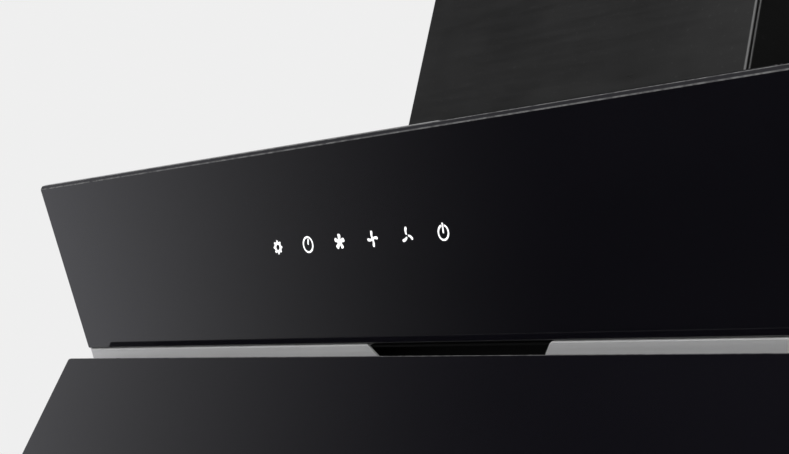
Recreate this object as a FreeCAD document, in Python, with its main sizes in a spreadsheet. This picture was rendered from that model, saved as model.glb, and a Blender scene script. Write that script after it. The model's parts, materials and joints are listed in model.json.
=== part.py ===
import FreeCAD, Part
import math
import os
import re
import Sketcher

# Wall-mounted chimney hood with an inclined black glass front.
# Frame: X to the right, Y towards the wall, Z up. The wall is the plane Y = 0, and the origin is
# midway between the two wall fixing holes.
# Slope frame: the plane of the closed glass front. Depth runs into the hood from the glass's outer
# face, rise runs up the slope from the lower edge of the upper glass.

Vector = FreeCAD.Vector
Rotation = FreeCAD.Rotation
document = FreeCAD.newDocument("range_hood")

# ---------------------------------------------------------------- driving sizes, mm and degrees
driving = {
    # casing
    "hood_width": 900, "tilt": 35, "front_reach": 303, "edge_drop": 70, "top_height": 37,
    "bottom_depth": 298, "sheet_wall": 1.2, "side_reveal": 2, "fold_width": 14, "bend_radius": 1.4,
    # upper glass and what it is bonded to
    "glass_wall": 6, "glass_arris": 0.9, "glass_corner": 2.5, "upper_glass_height": 136,
    "glass_bevel": 2.2, "bevel_arris": 0.5, "edge_arris": 0.3,
    "fascia_margin": 6, "window_length": 226, "window_height": 34, "window_corner": 5,
    # touch controls: six keys in a row
    "key_offset": -66, "key_pitch": 34.4, "key_rise": 69.4, "key_radius": 6,
    "carrier_length": 250, "carrier_height": 56, "carrier_depth": 18, "carrier_wall": 2,
    "board_wall": 1.6, "board_depth": 15,
    # steel strip with its finger notch
    "strip_recess": 1, "strip_gap": 0.6, "strip_drop": 30.8, "strip_depth": 12,
    "notch_half": 86, "notch_foot": 58, "notch_bridge": 5, "notch_round": 6,
    "liner_reach": 15, "liner_depth": 25, "liner_wall": 1.5,
    # lower panel: hinge axis, opening angle, glass and pan
    "swing": 48, "pivot_depth": 29.2, "pivot_rise": 3.6, "panel_drop": 36, "lower_glass_height": 240,
    "pan_inset": 14, "pan_depth": 12, "pan_wall": 1, "pan_drop": 54, "pan_foot": 8,
    "arm_inset": 110, "arm_wall": 3, "arm_eye": 9, "arm_width": 12, "arm_lean": 38,
    "arm_inner": 48, "arm_front_angle": 20, "arm_overlap_angle": 7, "arm_foot": 130,
    "pin_radius": 4, "pin_fit": 0.05, "pin_head": 2.5, "pin_stand": 1,
    "washer_wall": 1.2, "washer_radius": 8, "ear_wall": 2, "ear_gap": 0.2,
    "bracket_height": 30, "bracket_stand": 3, "panel_clearance": 2.5, "running_gap": 0.3,
    "catch_width": 30, "catch_height": 12,
    # wall that carries the grease filters
    "filter_wall_depth": 42, "filter_drop": 66, "filter_height": 190, "filter_width": 290,
    "filter_space": 12, "filter_frame_depth": 14, "filter_rail": 12, "filter_head": 18,
    "filter_lap": 6, "filter_corner": 8, "filter_edge": 1.2, "mesh_wall": 8, "arm_slot": 14,
    "latch_travel": 4, "latch_width": 26, "latch_hook": 3.5, "latch_stem": 5, "latch_wall": 1.5,
    "grip_wall": 2.5, "grip_margin": 5, "latch_margin": 1,
    # blower
    "blower_setback": 98, "blower_height": -10, "blower_width": 170, "wheel_radius": 70,
    "wheel_inner": 58, "wheel_width": 144, "blade_count": 28, "blade_wall": 1.2,
    "blade_lean": 3.5, "blade_bow": 2.4, "blade_inset": 1, "ring_wall": 3, "disc_wall": 2,
    "boss_length": 28, "scroll_start": 76, "scroll_end": 100, "scroll_wall": 1.5,
    "scroll_rise": 110, "cutoff_angle": 10, "inlet_roll": 6, "hub_radius": 12, "shaft_radius": 4,
    "shaft_stand": 2, "shaft_seat": 6, "motor_radius": 41, "motor_length": 78, "motor_start": 22,
    "motor_nose": 5, "motor_shoulder": 2, "can_step": 1.5,
    "star_reach": 14, "star_angle": 60, "band_wall": 4, "band_width": 6,
    "throat_gap": 4, "carrier_leg": 30, "carrier_foot": 26, "carrier_sheet": 1.5,
    "carrier_inset": 18,
    # outlet and its flaps
    "collar_radius": 75, "collar_wall": 2, "collar_height": 62, "adapter_height": 34,
    "adapter_rim": 6, "adapter_shoulder": 1.5, "ledge_wall": 2, "ledge_reach": 4, "flap_stand": 8,
    "flap_wall": 1.2, "flap_gap": 1.5, "flap_hinge": 4, "flap_pin": 1.5, "flap_knuckle": 3,
    "flap_room": 5, "knuckle_margin": 6,
    # chimney
    "chimney_width": 312, "chimney_depth": 255, "chimney_height": 420, "seam_gap": 1,
    "sleeve_gap": 0.8, "sleeve_length": 420, "sleeve_show": 60, "chimney_flange": 14,
    "bracket_drop": 100, "bracket_half": 80, "bracket_hole": 3, "bracket_clearance": 2,
    "vent_length": 60, "vent_height": 5, "vent_pitch": 11, "vent_count": 5, "vent_margin": 14,
    # lamps, cup, box
    "lamp_inset": 160, "lamp_stand": 29.455, "lamp_radius": 30, "lamp_rim": 34, "lamp_height": 18,
    "lamp_bevel": 1, "lamp_seat": 4, "rim_wall": 2, "lens_radius": 25, "lens_recess": 0.5,
    "cup_length": 180, "cup_width": 96, "cup_height": 22, "cup_wall": 1.6, "cup_lip": 5,
    "cup_setback": 14, "rail_wall": 1.5,
    "box_length": 110, "box_height": 74, "box_depth": 38, "box_wall": 2.5, "box_place": 250,
    "box_drop": 20, "lid_bevel": 1.2, "capacitor_radius": 14, "capacitor_height": 64,
    "gland_radius": 9, "gland_bore": 4.5, "gland_place": 250, "gland_setback": 36,
    "gland_shank": 8, "gland_nut": 5, "gland_cap": 3, "gland_rim": 3,
    # wall fixing
    "fixing_half": 250, "fixing_radius": 4,
}

sheet = document.addObject("Spreadsheet::Sheet", "sizes")
for row, (name, number) in enumerate(driving.items(), start=1):
    sheet.set("A%d" % row, name)
    sheet.set("B%d" % row, str(number))
    sheet.setAlias("B%d" % row, name)
document.recompute()


# ---------------------------------------------------------------- small helpers
def bound(expression):
    """An expression in size names, with each name pointed at its cell."""
    return re.sub(r"[a-z_]+", lambda word: "sizes." + word.group(0) if word.group(0) in driving
                  else word.group(0), str(expression))


def value(expression):
    return float(sheet.evalExpression(bound(expression)))


def slope_y(depth, rise):
    return "(-front_reach + (%s) * cos(tilt) - (%s) * sin(tilt))" % (depth, rise)


def slope_z(depth, rise):
    return "(-edge_drop + (%s) * sin(tilt) + (%s) * cos(tilt))" % (depth, rise)


def rise_at(depth, height):
    """Rise of the point at this depth that lies at a height Z."""
    return "(((%s) + edge_drop - (%s) * sin(tilt)) / cos(tilt))" % (height, depth)


def move(piece, x="0", y="0", z="0"):
    for letter, expression in zip("xyz", (x, y, z)):
        piece.setExpression("Placement.Base." + letter, bound(expression))
    return piece


def turn(piece, axis, expression):
    piece.Placement = FreeCAD.Placement(Vector(0, 0, 0), Rotation(axis, 1))
    piece.setExpression("Placement.Rotation.Angle", bound(expression))
    return piece


def on_slope(piece):
    """Seat a piece that is drawn as (x, depth, rise)."""
    turn(piece, Vector(1, 0, 0), "tilt")
    return move(piece, "0", slope_y("0", "0"), slope_z("0", "0"))


def on_panel(piece):
    """Seat a piece that is drawn as (x, depth, rise) from the hinge axis, with the panel open."""
    turn(piece, Vector(1, 0, 0), "tilt - swing")
    return move(piece, "0", slope_y("pivot_depth", "pivot_rise"), slope_z("pivot_depth", "pivot_rise"))


def origin_plane(body, role):
    return [item for item in body.Origin.OriginFeatures if item.Role == role][0]


def draw(body, role, loops, offset="0"):
    """Sketch on an origin plane. A loop is a list of corners, or a circle as (x, y, radius). A corner
    is (x, y), or (x, y, radius) where it is rounded."""
    sketch = body.newObject("Sketcher::SketchObject", body.Label + "_sketch")
    sketch.AttachmentSupport = [(origin_plane(body, role), "")]
    sketch.MapMode = "FlatFace"
    inward = "-(%s)" % offset if role == "XZ_Plane" else offset
    sketch.setExpression("AttachmentOffset.Base.z", bound(inward))

    def pin(geometry, point, x, y):
        for kind, expression in (("DistanceX", x), ("DistanceY", y)):
            index = sketch.addConstraint(
                Sketcher.Constraint(kind, -1, 1, geometry, point, value(expression)))
            sketch.setExpression("Constraints[%d]" % index, bound(expression))

    def hold_radius(geometry, radius):
        index = sketch.addConstraint(Sketcher.Constraint("Radius", geometry, value(radius)))
        sketch.setExpression("Constraints[%d]" % index, bound(radius))

    def round_corner(corner, radius, before, after, line_in, line_out):
        """Arc that touches the two lines of a corner, which stays as a construction point."""
        half_angle = before.getAngle(after) / 2
        size = value(radius)
        centre = corner + (before + after).normalize() * (size / math.sin(half_angle))
        ends = [corner + direction * (size / math.tan(half_angle)) for direction in (before, after)]
        angles = [math.atan2(end.y - centre.y, end.x - centre.x) for end in ends]
        forward = (angles[1] - angles[0]) % (2 * math.pi) < math.pi
        first_angle, last_angle = angles if forward else reversed(angles)
        circle = Part.Circle(centre, Vector(0, 0, 1), size)
        arc = sketch.addGeometry(Part.ArcOfCircle(circle, first_angle, last_angle), False)
        arrive, leave = (1, 2) if forward else (2, 1)
        sketch.addConstraint(Sketcher.Constraint("Tangent", line_in, 2, arc, arrive))
        sketch.addConstraint(Sketcher.Constraint("Tangent", arc, leave, line_out, 1))
        hold_radius(arc, radius)

    for loop in loops:
        if isinstance(loop, tuple):
            x, y, radius = loop
            centre = Vector(value(x), value(y), 0)
            circle = sketch.addGeometry(Part.Circle(centre, Vector(0, 0, 1), value(radius)), False)
            pin(circle, 3, x, y)
            hold_radius(circle, radius)
            continue
        first, count = sketch.GeometryCount, len(loop)
        corners = [Vector(value(corner[0]), value(corner[1]), 0) for corner in loop]
        cuts, ways = [], []
        for index, corner in enumerate(corners):
            before = (corners[index - 1] - corner).normalize()
            after = (corners[(index + 1) % count] - corner).normalize()
            size = value(loop[index][2]) if len(loop[index]) == 3 else 0
            cuts.append(size / math.tan(before.getAngle(after) / 2))
            ways.append((before, after))
        for index, corner in enumerate(corners):
            following = (index + 1) % count
            start = corner + ways[index][1] * cuts[index]
            end = corners[following] + ways[following][0] * cuts[following]
            sketch.addGeometry(Part.LineSegment(start, end), False)
        for index, corner in enumerate(loop):
            line_in, line_out = first + (index - 1) % count, first + index
            if len(corner) == 2:
                sketch.addConstraint(Sketcher.Constraint("Coincident", line_in, 2, line_out, 1))
                pin(line_out, 1, *corner)
                continue
            point = sketch.addGeometry(Part.Point(corners[index]), True)
            pin(point, 1, corner[0], corner[1])
            sketch.addConstraint(Sketcher.Constraint("PointOnObject", point, 1, line_in))
            sketch.addConstraint(Sketcher.Constraint("PointOnObject", point, 1, line_out))
            round_corner(corners[index], corner[2], *ways[index], line_in, line_out)
    return sketch


def rectangle(x_low, x_high, y_low, y_high, radius=None):
    corners = [(x_low, y_low), (x_high, y_low), (x_high, y_high), (x_low, y_high)]
    return corners if radius is None else [(x, y, radius) for x, y in corners]


def start_body(label):
    body = document.addObject("PartDesign::Body", label)
    body.Label = label
    return body


def pad(body, role, loops, length, offset="0", name="plate"):
    """Pad towards the positive side of the plane."""
    feature = body.newObject("PartDesign::Pad", body.Label + "_" + name)
    feature.Profile = draw(body, role, loops, offset)
    feature.setExpression("Length", bound(length))
    feature.Reversed = role == "XZ_Plane"
    document.recompute()
    return feature


def pocket(body, role, loops, length, offset="0", name="opening"):
    """Cut towards the positive side of the plane from an offset plane."""
    before = body.Shape.Volume
    feature = body.newObject("PartDesign::Pocket", body.Label + "_" + name)
    feature.Profile = draw(body, role, loops, offset)
    feature.setExpression("Length", bound(length))
    feature.Reversed = role != "XZ_Plane"
    document.recompute()
    if body.Shape.Volume >= before - 1e-6:
        raise RuntimeError(body.Label + ": " + name + " cuts nothing")
    return feature


def faces_towards(shape, *directions):
    """Names of the outermost flat faces that look in each direction."""
    names = []
    for direction in directions:
        flat = [(face.CenterOfMass.dot(direction), "Face%d" % index)
                for index, face in enumerate(shape.Faces, start=1)
                if face.normalAt(0, 0).dot(direction) > 0.999]
        names.append(max(flat)[1])
    return names


def fold(body, feature, wall, *open_sides):
    """Turn a block into a tray of folded sheet, open on the sides named."""
    tray = body.newObject("PartDesign::Thickness", body.Label + "_folds")
    tray.Base = (feature, faces_towards(feature.Shape, *open_sides))
    tray.setExpression("Value", bound(wall))
    tray.Join = 1
    tray.Reversed = True
    document.recompute()
    return tray


def dress(body, feature, kind, size, chosen, name):
    """Fillet or chamfer the edges that a test on an edge picks out."""
    dressing = body.newObject("PartDesign::" + kind, body.Label + "_" + name)
    names = ["Edge%d" % index for index, edge in enumerate(feature.Shape.Edges, start=1) if chosen(edge)]
    dressing.Base = (feature, names)
    dressing.setExpression("Radius" if kind == "Fillet" else "Size", bound(size))
    document.recompute()
    return dressing


def front_outline(shape):
    """Test for the edges round the front face of a plate that is drawn in the XZ plane."""
    bounds = shape.BoundBox
    zone = min(bounds.XLength, bounds.ZLength) / 20

    def chosen(edge):
        point = edge.CenterOfMass
        reach = min(point.x - bounds.XMin, bounds.XMax - point.x, point.z - bounds.ZMin,
                    bounds.ZMax - point.z)
        return lies_across(BACK)(edge) and abs(point.y - bounds.YMin) < 1e-6 and reach < zone
    return chosen


def lies_across(axis):
    """Test for edges that lie in a plane square to a direction."""
    def chosen(edge):
        along = [vertex.Point.dot(axis) for vertex in edge.Vertexes]
        return max(along) - min(along) < 1e-6
    return chosen


def box(label, x, y, z, length, width, height):
    piece = document.addObject("Part::Box", label)
    for name, expression in (("Length", length), ("Width", width), ("Height", height)):
        piece.setExpression(name, bound(expression))
    return move(piece, x, y, z)


spins = {"X": Rotation(Vector(0, 1, 0), 90), "Y": Rotation(Vector(1, 0, 0), -90), "Z": Rotation()}


def cylinder(label, axis, x, y, z, radius, height):
    """Cylinder that runs from its base point along a positive axis."""
    piece = document.addObject("Part::Cylinder", label)
    piece.Placement = FreeCAD.Placement(Vector(0, 0, 0), spins[axis])
    piece.setExpression("Radius", bound(radius))
    piece.setExpression("Height", bound(height))
    return move(piece, x, y, z)


def join(label, pieces):
    fused = document.addObject("Part::MultiFuse", label)
    fused.Shapes = pieces
    return fused


def carve(label, base, *tools):
    """Take one tool, or several joined, away from a base."""
    result = document.addObject("Part::Cut", label)
    result.Base = base
    result.Tool = tools[0] if len(tools) == 1 else join(label + "_tools", list(tools))
    return result


def group(label, pieces):
    """Several like solids that share a node."""
    result = document.addObject("Part::Compound", label)
    result.Links = pieces
    return result


def shaped(label, shape):
    piece = document.addObject("Part::Feature", label)
    piece.Shape = shape
    return piece


nodes = []


def keep(piece):
    """Name a finished sub-part."""
    piece.Label = piece.Name
    nodes.append(piece)
    return piece


half = "(hood_width / 2)"
cheek_face = "(hood_width / 2 - side_reveal)"
arm_place = "(hood_width / 2 - arm_inset)"
lamp_place = "(hood_width / 2 - lamp_inset)"
front_plane = "(glass_wall + sheet_wall)"
panel_plane = "(glass_wall + pan_depth + panel_clearance)"
floor_height = "(-bottom_depth + sheet_wall)"
wall_back = "(filter_wall_depth + sheet_wall)"
lamp_line = "(%s + lamp_stand)" % slope_y(wall_back, rise_at(wall_back, floor_height))
ceiling_height = "(top_height - sheet_wall)"
RIGHT, BACK, UP = Vector(1, 0, 0), Vector(0, 1, 0), Vector(0, 0, 1)
sides = (("left", -1), ("right", 1))


# ---------------------------------------------------------------- glass front
def make_upper_glass():
    """Pane with a ground bevel along its top, which a fine arris bounds on either side."""
    body = start_body("upper_glass")
    top, foot, along = "upper_glass_height", "(upper_glass_height - glass_bevel)", "bevel_arris * cos(45)"
    bevel = [("0", foot + " - bevel_arris"), (along, foot + " + " + along),
             ("glass_bevel - " + along, top + " - " + along), ("glass_bevel + bevel_arris", top)]
    edges = [("glass_wall", top), ("glass_wall", "0"), ("glass_arris", "0"), ("0", "glass_arris")]
    slab = pad(body, "YZ_Plane", [bevel + edges], "hood_width", "-" + half)
    dress(body, slab, "Chamfer", "edge_arris", lies_across(RIGHT), "arris")
    keep(on_slope(body))


def make_fascia_plate():
    """Steel sheet that the upper glass is bonded to, with the window for the touch keys."""
    body = start_body("fascia_plate")
    outline = rectangle("-" + cheek_face, cheek_face, "0", "upper_glass_height - fascia_margin")
    window = rectangle("key_offset - window_length / 2", "key_offset + window_length / 2",
                       "key_rise - window_height / 2", "key_rise + window_height / 2", "window_corner")
    pad(body, "XZ_Plane", [outline, window], "sheet_wall", "glass_wall")
    keep(on_slope(body))


def make_front_strip():
    """Folded steel strip with a finger notch whose flanks lean in towards the foot. The back of its
    top fold runs on behind the notch and holds the two halves together."""
    body = start_body("front_strip")
    outline = rectangle("-" + half, half, "-strip_drop", "-strip_gap")
    block = pad(body, "XZ_Plane", [outline], "strip_depth", "strip_recess")
    tray = fold(body, block, "sheet_wall", BACK)
    dress(body, tray, "Fillet", "bend_radius", front_outline(block.Shape), "bends")
    brim, foot_line = "-strip_gap", "-strip_drop - strip_gap"
    above = "-strip_gap + notch_round"
    notch = [("-notch_half", brim, "notch_round"), ("-notch_foot", foot_line), ("notch_foot", foot_line),
             ("notch_half", brim, "notch_round"), ("notch_half + 2 * notch_round", brim),
             ("notch_half + 2 * notch_round", above), ("-notch_half - 2 * notch_round", above),
             ("-notch_half - 2 * notch_round", brim)]
    pocket(body, "XZ_Plane", [notch], "strip_recess + strip_depth - notch_bridge", "0", "notch")
    way = rectangle("-notch_foot", "notch_foot", foot_line, "-strip_drop / 2")
    pocket(body, "XZ_Plane", [way], "strip_recess + 2 * strip_depth", "0", "notch_way")
    keep(on_slope(body))


def make_finger_liner():
    """Black cup behind the notch, open to the front and towards the lower glass."""
    body = start_body("finger_liner")
    outline = rectangle("-notch_half - liner_reach", "notch_half + liner_reach",
                        "-strip_drop + sheet_wall", "-strip_gap - sheet_wall")
    block = pad(body, "XZ_Plane", [outline], "liner_depth - strip_recess - sheet_wall",
                "strip_recess + sheet_wall")
    fold(body, block, "liner_wall", -BACK, -UP)
    keep(on_slope(body))


# ---------------------------------------------------------------- casing
def make_cheek(side, sign):
    """Side sheet with its edges folded in, stepped in front behind strip and panel."""
    def corner(depth, rise):
        return slope_y(depth, rise), slope_z(depth, rise)

    strip_back = "(strip_recess + strip_depth)"
    step = "-strip_drop - sheet_wall"
    outline = [("-sheet_wall", floor_height), ("-sheet_wall", ceiling_height),
               corner(front_plane, rise_at(front_plane, ceiling_height)),
               corner(front_plane, "0"), corner(strip_back, "0"), corner(strip_back, step),
               corner(panel_plane, step), corner(panel_plane, rise_at(panel_plane, floor_height))]
    body = start_body(side + "_cheek")
    start = "-" + cheek_face if sign < 0 else cheek_face + " - fold_width"
    block = pad(body, "YZ_Plane", [outline], "fold_width", start)
    fold(body, block, "sheet_wall", -sign * RIGHT)
    keep(body)


def make_back_plate():
    body = start_body("back_plate")
    outline = rectangle("-" + cheek_face, cheek_face, floor_height, ceiling_height)
    holes = [(sign + "fixing_half", "0", "fixing_radius") for sign in ("-", "")]
    pad(body, "XZ_Plane", [outline] + holes, "sheet_wall", "-sheet_wall")
    keep(body)


blower_front = "(-blower_setback - scroll_end - scroll_wall)"


def make_top_cover():
    body = start_body("top_cover")
    front = slope_y(front_plane, rise_at(front_plane, ceiling_height))
    outline = rectangle("-" + cheek_face, cheek_face, front, "0")
    throat = rectangle("-blower_width / 2 - throat_gap", "blower_width / 2 + throat_gap",
                       blower_front + " - throat_gap", "-sheet_wall - throat_gap", "throat_gap")
    inlet = ("gland_place", "-gland_setback", "gland_radius")
    pad(body, "XY_Plane", [outline, throat, inlet], "sheet_wall", ceiling_height)
    keep(body)


def make_bottom_plate():
    """Floor of the hood with the lamp holes and the drain above the cup."""
    body = start_body("bottom_plate")
    front = slope_y(panel_plane, rise_at(panel_plane, floor_height))
    outline = rectangle("-" + cheek_face, cheek_face, front, "0")
    lamps = [(sign + lamp_place, lamp_line, "lamp_radius") for sign in ("-", "")]
    drain = ("0", "-cup_setback - cup_width / 2", "cup_lip")
    pad(body, "XY_Plane", [outline, drain] + lamps, "sheet_wall", "-bottom_depth")
    keep(body)


def filter_span(sign):
    """Left and right edge of a filter."""
    near, far = "filter_space / 2", "(filter_space / 2 + filter_width)"
    return ("-" + far, "-" + near) if sign < 0 else (near, far)


def make_filter_wall():
    """Inner front wall, with the filter openings and a slot for each hinge arm."""
    body = start_body("filter_wall")
    low = rise_at("filter_wall_depth", floor_height + " + sheet_wall")
    high = rise_at("filter_wall_depth + sheet_wall", ceiling_height + " - sheet_wall")
    inner = "(%s - sheet_wall)" % cheek_face
    loops = [rectangle("-" + inner, inner, low, high)]
    for side, sign in sides:
        left, right = filter_span(sign)
        loops.append(rectangle(left + " + filter_lap", right + " - filter_lap",
                               "-filter_drop - filter_height + filter_lap",
                               "-filter_drop - filter_lap"))
        centre = "%d * %s" % (sign, arm_place)
        loops.append(rectangle(centre + " - arm_slot / 2", centre + " + arm_slot / 2",
                               "pivot_rise - arm_inner - arm_width - panel_clearance",
                               "pivot_rise"))
    pad(body, "XZ_Plane", loops, "sheet_wall", "filter_wall_depth")
    keep(on_slope(body))


# ---------------------------------------------------------------- lower panel and its hinges
def make_lower_glass():
    body = start_body("lower_glass")
    top = "-pivot_rise - panel_drop"
    outline = rectangle("-" + half, half, top + " - lower_glass_height", top, "glass_corner")
    slab = pad(body, "XZ_Plane", [outline], "glass_wall", "-pivot_depth")
    dress(body, slab, "Chamfer", "glass_arris", lies_across(BACK), "arris")
    keep(on_panel(body))


def make_panel_pan():
    """Steel tray bonded to the back of the lower glass, open towards the hinge arms."""
    body = start_body("panel_pan")
    reach = "(%s - pan_inset)" % half
    outline = rectangle("-" + reach, reach,
                        "-pivot_rise - panel_drop - lower_glass_height + pan_foot",
                        "-pivot_rise - pan_drop")
    block = pad(body, "XZ_Plane", [outline], "pan_depth", "-pivot_depth + glass_wall")
    fold(body, block, "pan_wall", BACK, UP)
    keep(on_panel(body))


def make_hinge_arm(side, sign):
    """Goose-neck arm: an eye on the pin, a shank, an arc about the pin and a foot on the pan."""
    name = "hinge_arm_" + side
    left = "%d * %s - arm_wall / 2" % (sign, arm_place)
    outer = "(arm_inner + arm_width)"
    foot_back = "(-pivot_depth + glass_wall + pan_wall)"

    def sector(label, radius):
        """Part of a disc about the pin, from the foot round to the shank."""
        piece = document.addObject("Part::Cylinder", label)
        start = Rotation(Vector(1, 0, 0), -value("arm_front_angle")).multiply(spins["X"])
        piece.Placement = FreeCAD.Placement(Vector(0, 0, 0), start)
        piece.setExpression("Radius", bound(radius))
        piece.setExpression("Height", bound("arm_wall"))
        piece.setExpression("Angle", bound("arm_front_angle + arm_lean + arm_overlap_angle"))
        return move(piece, left, "0", "0")

    eye = cylinder(name + "_eye", "X", left, "0", "0", "arm_eye", "arm_wall")
    arc = carve(name + "_arc", sector(name + "_disc", outer), sector(name + "_core", "arm_inner"))
    shank = document.addObject("Part::Box", name + "_shank")
    shank.setExpression("Length", bound("arm_wall"))
    shank.setExpression("Width", bound("arm_width"))
    shank.setExpression("Height", bound("arm_inner + arm_width / 2"))
    turn(shank, Vector(1, 0, 0), "180 + arm_lean")
    move(shank, left, "arm_width / 2 * cos(arm_lean)", "arm_width / 2 * sin(arm_lean)")
    foot = box(name + "_foot", left, foot_back, "-arm_foot", "arm_wall", "arm_width",
               "arm_foot - arm_inner - running_gap")
    flange = box(name + "_flange", left + " - arm_width / 2", foot_back, "-arm_foot",
                 "arm_wall + arm_width", "ear_wall", "arm_foot - arm_inner - arm_width")
    plate = join(name + "_plate", [eye, arc, shank, foot, flange])
    bore = cylinder(name + "_bore", "X", left + " - arm_wall", "0", "0", "pin_radius + pin_fit",
                    "3 * arm_wall")
    keep(on_panel(carve(name, plate, bore)))


washer_room = "(arm_wall / 2 + ear_gap + washer_wall)"


def make_hinge_bracket(side, sign):
    """U bracket on the filter wall, with an ear each side of the arm."""
    name = "hinge_bracket_" + side
    centre = "%d * %s" % (sign, arm_place)
    spread = "(%s + ear_wall)" % washer_room
    ear_front = "(pivot_depth - arm_eye)"
    base = box(name + "_base", "%s - %s" % (centre, spread), "filter_wall_depth - ear_wall",
               "pivot_rise + bracket_stand", "2 * " + spread, "ear_wall", "bracket_height")
    ears = [box(name + "_ear_%d" % index, place, ear_front, "pivot_rise - arm_eye", "ear_wall",
                "filter_wall_depth - " + ear_front, "bracket_height + arm_eye + bracket_stand")
            for index, place in enumerate(("%s - %s" % (centre, spread),
                                           "%s + %s" % (centre, washer_room)))]
    bore = cylinder(name + "_bore", "X", "%s - 2 * %s" % (centre, spread), "pivot_depth", "pivot_rise",
                    "pin_radius + pin_fit", "4 * " + spread)
    keep(on_slope(carve(name, join(name + "_plate", [base] + ears), bore)))


def make_hinge_pin(side, sign):
    name = "hinge_pin_" + side
    spread = "(%s + ear_wall)" % washer_room
    centre = "%d * %s" % (sign, arm_place)
    start = "%s - %s" % (centre, spread)
    shaft = cylinder(name + "_shaft", "X", start + " - pin_stand", "pivot_depth", "pivot_rise",
                     "pin_radius", "2 * %s + 2 * pin_stand" % spread)
    head = cylinder(name + "_head", "X", "%s + %s" % (centre, spread), "pivot_depth", "pivot_rise",
                    "pin_radius + pin_head", "pin_head")
    keep(on_slope(join(name, [shaft, head])))


def make_friction_washers():
    rings = []
    for side, sign in sides:
        for index, start in enumerate(("-%s" % washer_room, "arm_wall / 2 + ear_gap")):
            name = "washer_%s_%d" % (side, index)
            place = "%d * %s + (%s)" % (sign, arm_place, start)
            disc = cylinder(name + "_disc", "X", place, "pivot_depth", "pivot_rise", "washer_radius",
                            "washer_wall")
            bore = cylinder(name + "_bore", "X", place + " - washer_wall", "pivot_depth", "pivot_rise",
                            "pin_radius + pin_fit", "3 * washer_wall")
            rings.append(carve(name, disc, bore))
    keep(on_slope(group("friction_washers", rings)))


# ---------------------------------------------------------------- touch controls
def make_controls():
    left = "key_offset - carrier_length / 2"
    body = start_body("control_carrier")
    outline = rectangle(left, "key_offset + carrier_length / 2",
                        "key_rise - carrier_height / 2", "key_rise + carrier_height / 2")
    block = pad(body, "XZ_Plane", [outline], "carrier_depth", front_plane)
    fold(body, block, "carrier_wall", -BACK)
    keep(on_slope(body))
    board = box("board_sheet", left + " + carrier_wall", "board_depth",
                "key_rise - carrier_height / 2 + carrier_wall", "carrier_length - 2 * carrier_wall",
                "board_wall", "carrier_height - 2 * carrier_wall")
    keep(on_slope(group("control_board", [board])))
    springs = [cylinder("touch_spring_%d" % index, "Y",
                        "key_offset + %g * key_pitch" % (index - 2.5), "glass_wall", "key_rise",
                        "key_radius", "board_depth - glass_wall") for index in range(6)]
    keep(on_slope(group("touch_springs", springs)))


# ---------------------------------------------------------------- grease filters
filter_back = "filter_wall_depth"
filter_front = "(filter_wall_depth - filter_frame_depth)"
head_slot_high = "(-filter_drop - filter_lap - latch_margin)"
head_slot_low = "(%s - latch_stem - latch_travel - latch_margin)" % head_slot_high


def make_filter(side, sign):
    left, right = filter_span(sign)
    low, high = "-filter_drop - filter_height", "-filter_drop"
    middle = "(%s + %s) / 2" % (left, right)
    body = start_body("filter_frame_" + side)
    window = rectangle(left + " + filter_rail", right + " - filter_rail",
                       low + " + filter_rail", high + " - filter_head")
    outline = rectangle(left, right, low, high, "filter_corner")
    slot_half = "(latch_width / 4 + running_gap)"
    slot = rectangle("%s - %s" % (middle, slot_half), "%s + %s" % (middle, slot_half),
                     head_slot_low, head_slot_high)
    frame = pad(body, "XZ_Plane", [outline, window, slot], "filter_frame_depth", filter_front)
    dress(body, frame, "Chamfer", "filter_edge", front_outline(frame.Shape), "edge")
    keep(on_slope(body))
    mesh = box("mesh_pack_" + side, left + " + filter_rail",
               filter_front + " + (filter_frame_depth - mesh_wall) / 2", low + " + filter_rail",
               "filter_width - 2 * filter_rail", "mesh_wall", "filter_height - filter_rail - filter_head")
    keep(on_slope(group("filter_mesh_" + side, [mesh])))


def make_latch(side, sign):
    """Slide on the filter's head: a grip in front, a stem through the frame and a hook behind."""
    name = "latch_" + side
    left, right = filter_span(sign)
    middle = "(%s + %s) / 2" % (left, right)
    grip = box(name + "_grip", middle + " - latch_width / 2", filter_front + " - running_gap - grip_wall",
               head_slot_low + " + latch_travel", "latch_width", "grip_wall",
               "latch_stem + grip_margin")
    stem_low = "(%s - running_gap - latch_stem)" % head_slot_high
    back = "(filter_wall_depth + sheet_wall + running_gap)"
    stem = box(name + "_stem", middle + " - latch_width / 4",
               filter_front + " - running_gap - latch_margin", stem_low, "latch_width / 2",
               "%s + latch_wall - %s + running_gap + latch_margin" % (back, filter_front), "latch_stem")
    hook = box(name + "_hook", middle + " - latch_width / 4", back, stem_low, "latch_width / 2",
               "latch_wall", "latch_stem + running_gap + latch_margin + latch_hook")
    keep(on_slope(join(name, [grip, stem, hook])))


# ---------------------------------------------------------------- blower
axle_y, axle_z = "-blower_setback", "blower_height"


def scroll_outline(growth):
    """Closed outline of the volute in the YZ plane: a spiral whose radius grows evenly with the
    angle, drawn as arcs from the cut-off round to the front, then straight up to the outlet."""
    first, last = value("cutoff_angle"), 270.0
    start, end = value("scroll_start") + growth, value("scroll_end") + growth
    arc_count = 4

    def on_spiral(share):
        angle = math.radians(first + (last - first) * share)
        radius = start + (end - start) * share
        return Vector(0, radius * math.sin(angle), radius * math.cos(angle))

    arcs = [Part.Arc(*[on_spiral((arc + part) / arc_count) for part in (0, 0.5, 1)]).toShape()
            for arc in range(arc_count)]
    rise = value("scroll_rise")
    tongue, front = on_spiral(0), on_spiral(1)
    corners = [front, Vector(0, front.y, rise), Vector(0, tongue.y, rise), tongue]
    lines = [Part.makeLine(corners[index], corners[index + 1]) for index in range(3)]
    return Part.Face(Part.Wire(arcs + lines))


def at_axle(shape, along=0.0):
    shape.translate(Vector(along, value(axle_y), value(axle_z)))
    return shape


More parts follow.
